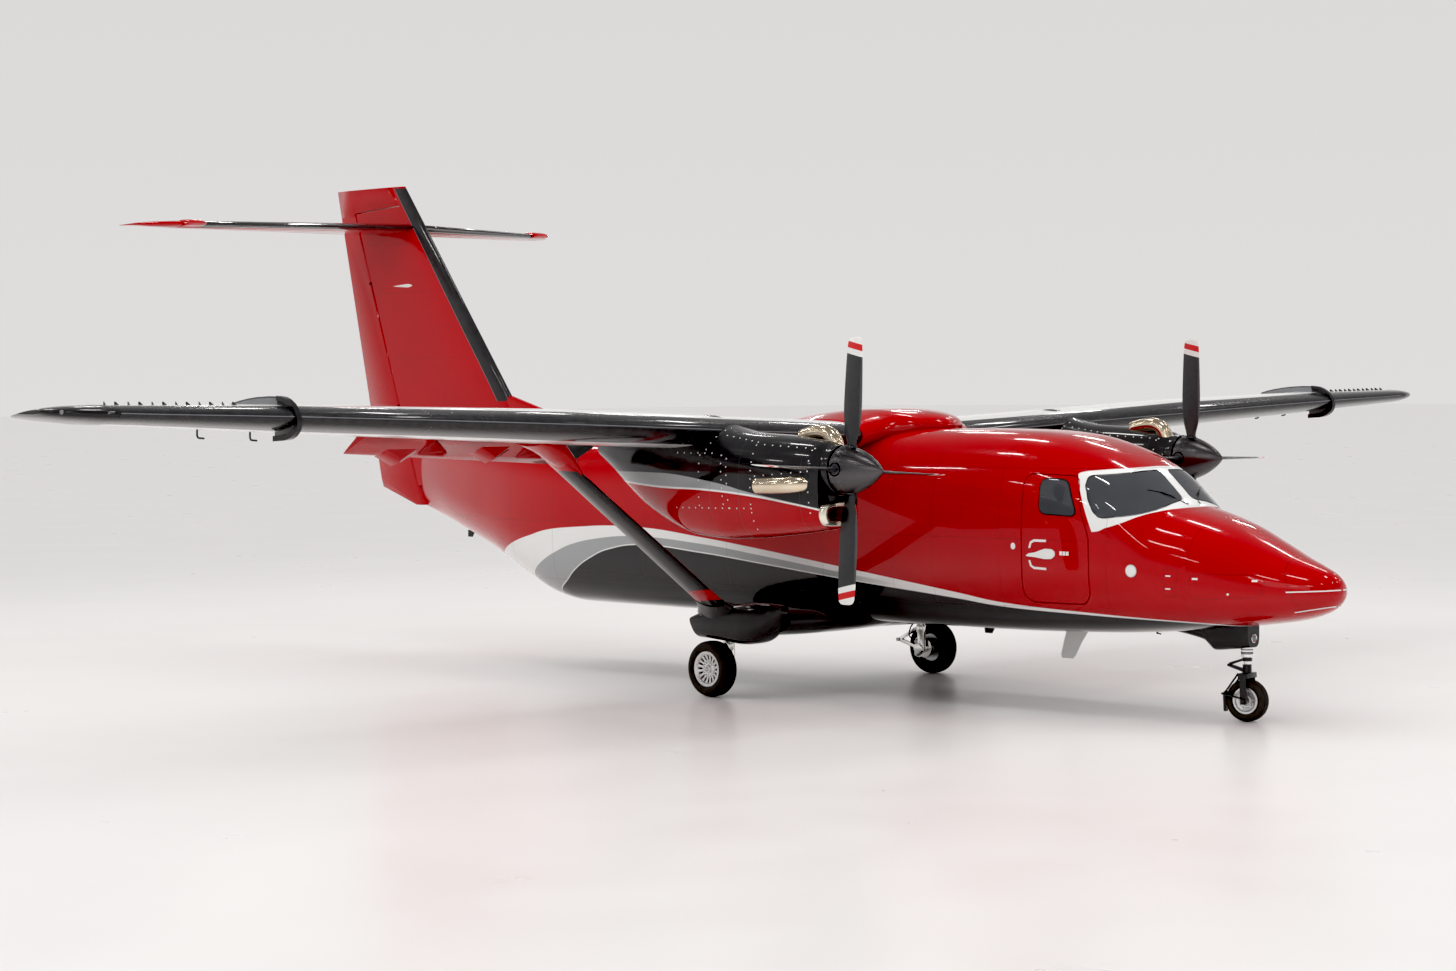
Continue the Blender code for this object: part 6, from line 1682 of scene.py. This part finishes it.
# Heads along the wing's leading edge and spar lines, and the small vortex blades ahead of the aileron
ABOVE_WING = 4.0
BELOW_WING = 2.0
for side, tag in SIDES:
    tree = surface(["wing_skin_" + tag])
    spots = []
    for y, count, x0, x1 in ((6.66, 9, 2.38, 1.30), (6.96, 4, 2.42, 2.30), (8.10, 8, 2.25, 1.25),
                             (4.90, 9, 2.45, 1.30), (9.30, 6, 2.10, 1.35)):
        for k in range(count):
            x = x0 + (x1 - x0) * k / (count - 1)
            for z, way in ((ABOVE_WING, -1), (BELOW_WING, 1)):
                spots += seat(tree, (x + SHIFT_X, side * y, z), (0, 0, way))
    for k in range(60):
        y = 1.3 + 9.0 * k / 59
        for x in (1.88, 1.46):
            spots += seat(tree, (x + SHIFT_X, side * y, ABOVE_WING), (0, 0, -1))
    studs("wing_fasteners_" + tag, spots, 0.0050, 0.0018, STEEL, "airframe")
    blades = []
    for k in range(12):
        y = 9.02 + 1.36 * k / 11
        x = 2.03 - 0.085 * (y - 9.02)
        hit = seat(tree, (x + SHIFT_X, side * y, ABOVE_WING), (0, 0, -1))[0][0]
        lean = 0.006 * (1 if k % 2 else -1)
        z = hit.z - 0.004
        foot = [(x + 0.030, z), (x - 0.034, z), (x - 0.034, z + 0.034), (x - 0.020, z + 0.034)]
        faces = []
        for half in (-0.0016, 0.0016):
            faces.append([(px, side * y + half + lean * (x - px) / 0.03, pz) for px, pz in foot])
        blades.append(loft("blade", faces))
    ready(as_one("vortex_blades_" + tag, blades), SATIN_BLACK, "airframe", (), 30.0)
    # hinge arms that hang below the outer wing, and the tip's lens
    arms = []
    for y, x in ((8.955, 1.30), (8.336, 1.30)):
        low = seat(tree, (x + SHIFT_X, side * y, BELOW_WING), (0, 0, 1))[0][0]
        arms.append(pipe("arm", [(x, side * y, low.z + 0.004), (x, side * y, low.z - 0.060),
                                 (x, side * (y - 0.012), low.z - 0.088),
                                 (x, side * (y - 0.080), low.z - 0.096)], 0.0095, 10, 5))
    ready(as_one("wing_arms_" + tag, arms), SATIN_BLACK, "airframe", (), 40.0)
    lens = turned("tip_lens_" + tag, [(-0.02, 0.020), (0.004, 0.020), (0.010, 0.013), (0.013, 0.003)],
                  (0.35, side, 0.05), (2.02, side * 10.905, 3.338), 24)
    ready(lens, CLEAR, "airframe", (), 60.0)

# Flap fairings: dark red wedges under the outer flap's nose, which move with it
for side, tag in SIDES:
    wedges = []
    for y in (6.335, 5.075):
        rings = []
        for x, half, low in ((1.150, 0.200, 2.800), (1.100, 0.235, 2.762), (1.020, 0.240, 2.742),
                             (0.960, 0.215, 2.725)):
            top = low + 0.105
            rings.append([(x, side * (y - half), top), (x, side * (y - half * 0.86), top - 0.012),
                          (x, side * y, low), (x, side * (y + half * 0.86), top - 0.012),
                          (x, side * (y + half), top)])
        wedges.append(loft("wedge", rings))
    ready(as_one("flap_fairings_" + tag, wedges), DARK_RED, "flap_outer_" + tag, (), 28.0)

# Rows of flush heads along the fuselage's frames and laps, in the livery's own colours
FRAME_X = (-3.62, -2.72, -1.06, 0.42, 1.98, 3.06, 3.66, 4.62)
BODY_ROWS = [((x + dx, 1.02), (x + dx, 2.90), 30) for x in FRAME_X for dx in (-0.018, 0.018)]
BODY_ROWS += [((-3.6, z), (4.6, z), 110) for z in (1.875, 2.635)]
BODY_ROWS += [((6.03, 1.15), (6.03, 1.95), 14), ((6.93, 1.10), (6.93, 1.75), 12),
              ((7.00, 1.285), (7.72, 1.320), 12), ((7.00, 1.575), (7.66, 1.575), 11)]
tree = surface(["fuselage_skin"])
spots = []
for side in (-1, 1):
    spots += [(p, n) for p, n in along(tree, BODY_ROWS, side, side * 3.0) if abs(n.y) > 0.25]
studs("fuselage_fasteners", spots, 0.0042, 0.0016, SKIN, "airframe")

# Aerials and probes
FINE_FORM = ((0.0, 0.0), (0.25, 1.0), (0.7, 0.8), (1.0, 0.05), (0.7, -0.8), (0.25, -1.0))
PLAIN_FORM = ((0.0, 0.0), (0.3, 1.0), (1.0, 0.1), (0.3, -1.0))


def aerial(name, form, rows):
    # a hanging blade; rows give height, front, back and half thickness
    return loft(name, [[(x0 + (x1 - x0) * f, h * w, z) for f, w in form] for z, x0, x1, h in rows])


main_aerial = aerial("belly_blade", FINE_FORM, [(0.860, 5.08, 4.76, 0.013), (0.700, 4.96, 4.71, 0.010),
                                                (0.560, 4.88, 4.67, 0.007), (0.520, 4.84, 4.68, 0.004)])
ready(main_aerial, WHITE_PAINT, "airframe", (), 35.0)
small = [rod("probe", (6.00, 0.0, 0.915), (5.99, 0.0, 0.850), 0.010, 12),
         rod("probe", (5.99, 0.0, 0.856), (6.04, 0.0, 0.850), 0.007, 12),
         aerial("blade", PLAIN_FORM, [(0.800, 3.72, 3.56, 0.012), (0.735, 3.68, 3.57, 0.007)]),
         aerial("blade", PLAIN_FORM, [(1.640, -5.40, -5.56, 0.010), (1.550, -5.46, -5.56, 0.006)])]
ready(as_one("belly_probes", small), SATIN_BLACK, "airframe", (), 35.0)

# Black bead round each windshield pane, and the wipers
front = surface(["fuselage_skin", "windshield_pane_stbd", "windshield_pane_port"])


def on_front(y, z, proud):
    # a place on the windshield or the nose, seen from ahead
    hit = seat(front, (8.0, y, z), (-1, 0, 0))[0][0]
    return (hit.x - SHIFT_X + proud, hit.y, hit.z)


for side, tag in SIDES:
    loop = [on_front(side * y, z, 0.001) for y, z in wider(rounded(PANE, 0.045, 4), 0.005)]
    ready(pipe("windshield_seal_" + tag, loop + loop[:2], 0.0095, 8, 2), SEAL, "airframe", (), 50.0)
WIPER_ARM = ((0.10, 2.245), (0.16, 2.285), (0.24, 2.335), (0.33, 2.375))
WIPER_BLADE = ((0.20, 2.330), (0.33, 2.375), (0.46, 2.402))
wipers = []
for side, tag in SIDES:
    line = [on_front(side * y, z, 0.016) for y, z in WIPER_ARM]
    wipers.append(pipe("wiper", line, 0.006, 8, 5))
    line = [on_front(side * y, z, 0.007) for y, z in WIPER_BLADE]
    wipers.append(pipe("wiper_blade", line, 0.005, 8, 6))
ready(as_one("wipers", wipers), SATIN_BLACK, "airframe", (), 40.0)

# Floor, light and camera
floor_mesh = bpy.data.meshes.new("floor")
FLOOR_HALF = 400
corners = [(i * FLOOR_HALF, j * FLOOR_HALF, 0) for i, j in ((-1, -1), (1, -1), (1, 1), (-1, 1))]
floor_mesh.from_pydata(corners, [], [(0, 1, 2, 3)])
floor_ob = bpy.data.objects.new("floor", floor_mesh)
bpy.context.scene.collection.objects.link(floor_ob)
floor_finish = Finish("sealed_floor", rough=0.24)
tone = floor_finish.cloudy((0.80, 0.785, 0.775), 0.35, 2.0, 0.97, 1.03)
sheen = floor_finish.spread(floor_finish.noise(0.8, 3.0), 0.24, 0.36)
floor_mesh.materials.append(floor_finish.done(tone, sheen))

# A soft room round the object: pale below, lighter at eye height, darker overhead
world = bpy.data.worlds.new("studio")
bpy.context.scene.world = world
world.use_nodes = True
nodes, links = world.node_tree.nodes, world.node_tree.links
aim = nodes.new("ShaderNodeTexCoord")
parts = nodes.new("ShaderNodeSeparateXYZ")
links.new(aim.outputs["Generated"], parts.inputs[0])
ramp = nodes.new("ShaderNodeValToRGB")
ramp.color_ramp.elements[0].position = 0.46
ramp.color_ramp.elements[0].color = (0.80, 0.79, 0.785, 1.0)
ramp.color_ramp.elements[1].position = 0.497
ramp.color_ramp.elements[1].color = (0.745, 0.735, 0.73, 1.0)
for place, tone in ((0.572, (0.72, 0.705, 0.70)), (0.66, (0.34, 0.335, 0.33)), (0.95, (0.22, 0.218, 0.215))):
    ramp.color_ramp.elements.new(place).color = tone + (1.0,)
half = nodes.new("ShaderNodeMath")
half.operation = "MULTIPLY_ADD"
half.inputs[1].default_value = 0.5
half.inputs[2].default_value = 0.5
links.new(parts.outputs["Z"], half.inputs[0])
links.new(half.outputs[0], ramp.inputs[0])
links.new(ramp.outputs[0], nodes["Background"].inputs[0])
nodes["Background"].inputs[1].default_value = 1.0


def lamp(name, place, size, power_w, turn=(0.0, 0.0, 0.0), tint=(1.0, 0.985, 0.965)):
    light = bpy.data.lights.new(name, "AREA")
    light.shape = "RECTANGLE"
    light.size, light.size_y = size
    light.energy = power_w
    light.color = tint
    ob = bpy.data.objects.new(name, light)
    ob.location = place
    ob.rotation_euler = turn
    ob.visible_camera = False
    bpy.context.scene.collection.objects.link(ob)
    return ob


LAMP_HEIGHT = 9.0
LAMP_SIZE = (1.4, 0.35)
LAMP_POWER = 36.0
for i in range(7):
    for j in range(6):
        spot = (-15.0 + 5.0 * i, -14.0 + 5.6 * j, LAMP_HEIGHT)
        lamp("overhead_%d_%d" % (i, j), spot, LAMP_SIZE, LAMP_POWER)
wash = bpy.data.lights.new("overhead_wash", "SUN")
wash.energy = 2.2
wash.angle = radians(120)
wash_ob = bpy.data.objects.new("overhead_wash", wash)
wash_ob.visible_glossy = False
bpy.context.scene.collection.objects.link(wash_ob)
lamp("soft_front", (16.0, -20.0, 11.0), (12.0, 8.0), 260.0, (radians(52), 0.0, radians(38)))

# Camera: focal length and horizon in pixels of the photograph's frame, then its turn and place
FRAME_WIDE = 1456
FRAME_MIDDLE = 485.5
SENSOR = 36.0
FOCAL = 3010.6
HORIZON = 388.8
ROLL = radians(-0.512)
AZIMUTH = radians(45.861)
DISTANCE = 36.341
EYE = 3.498
ASIDE = -0.373
back = Vector((sin(AZIMUTH), -cos(AZIMUTH), 0.0))
right = Vector((cos(AZIMUTH), sin(AZIMUTH), 0.0))
camera_data = bpy.data.cameras.new("camera")
camera = bpy.data.objects.new("camera", camera_data)
bpy.context.scene.collection.objects.link(camera)
place = back * DISTANCE + right * ASIDE + Vector((SHIFT_X, 0.0, EYE))
turn = Matrix((right, Vector((0, 0, 1)), back)).transposed().to_4x4()
camera.matrix_world = Matrix.Translation(place) @ turn @ Matrix.Rotation(ROLL, 4, "Z")
camera_data.sensor_width = SENSOR
camera_data.lens = FOCAL / FRAME_WIDE * SENSOR
camera_data.shift_y = -(FRAME_MIDDLE - HORIZON) / FRAME_WIDE
camera_data.clip_end = 900.0
bpy.context.scene.camera = camera
# plain view with slightly deepened darks
view = bpy.context.scene.view_settings
view.view_transform = "Standard"
view.use_curve_mapping = True
view.curve_mapping.black_level = (0.028, 0.028, 0.028)
view.curve_mapping.update()
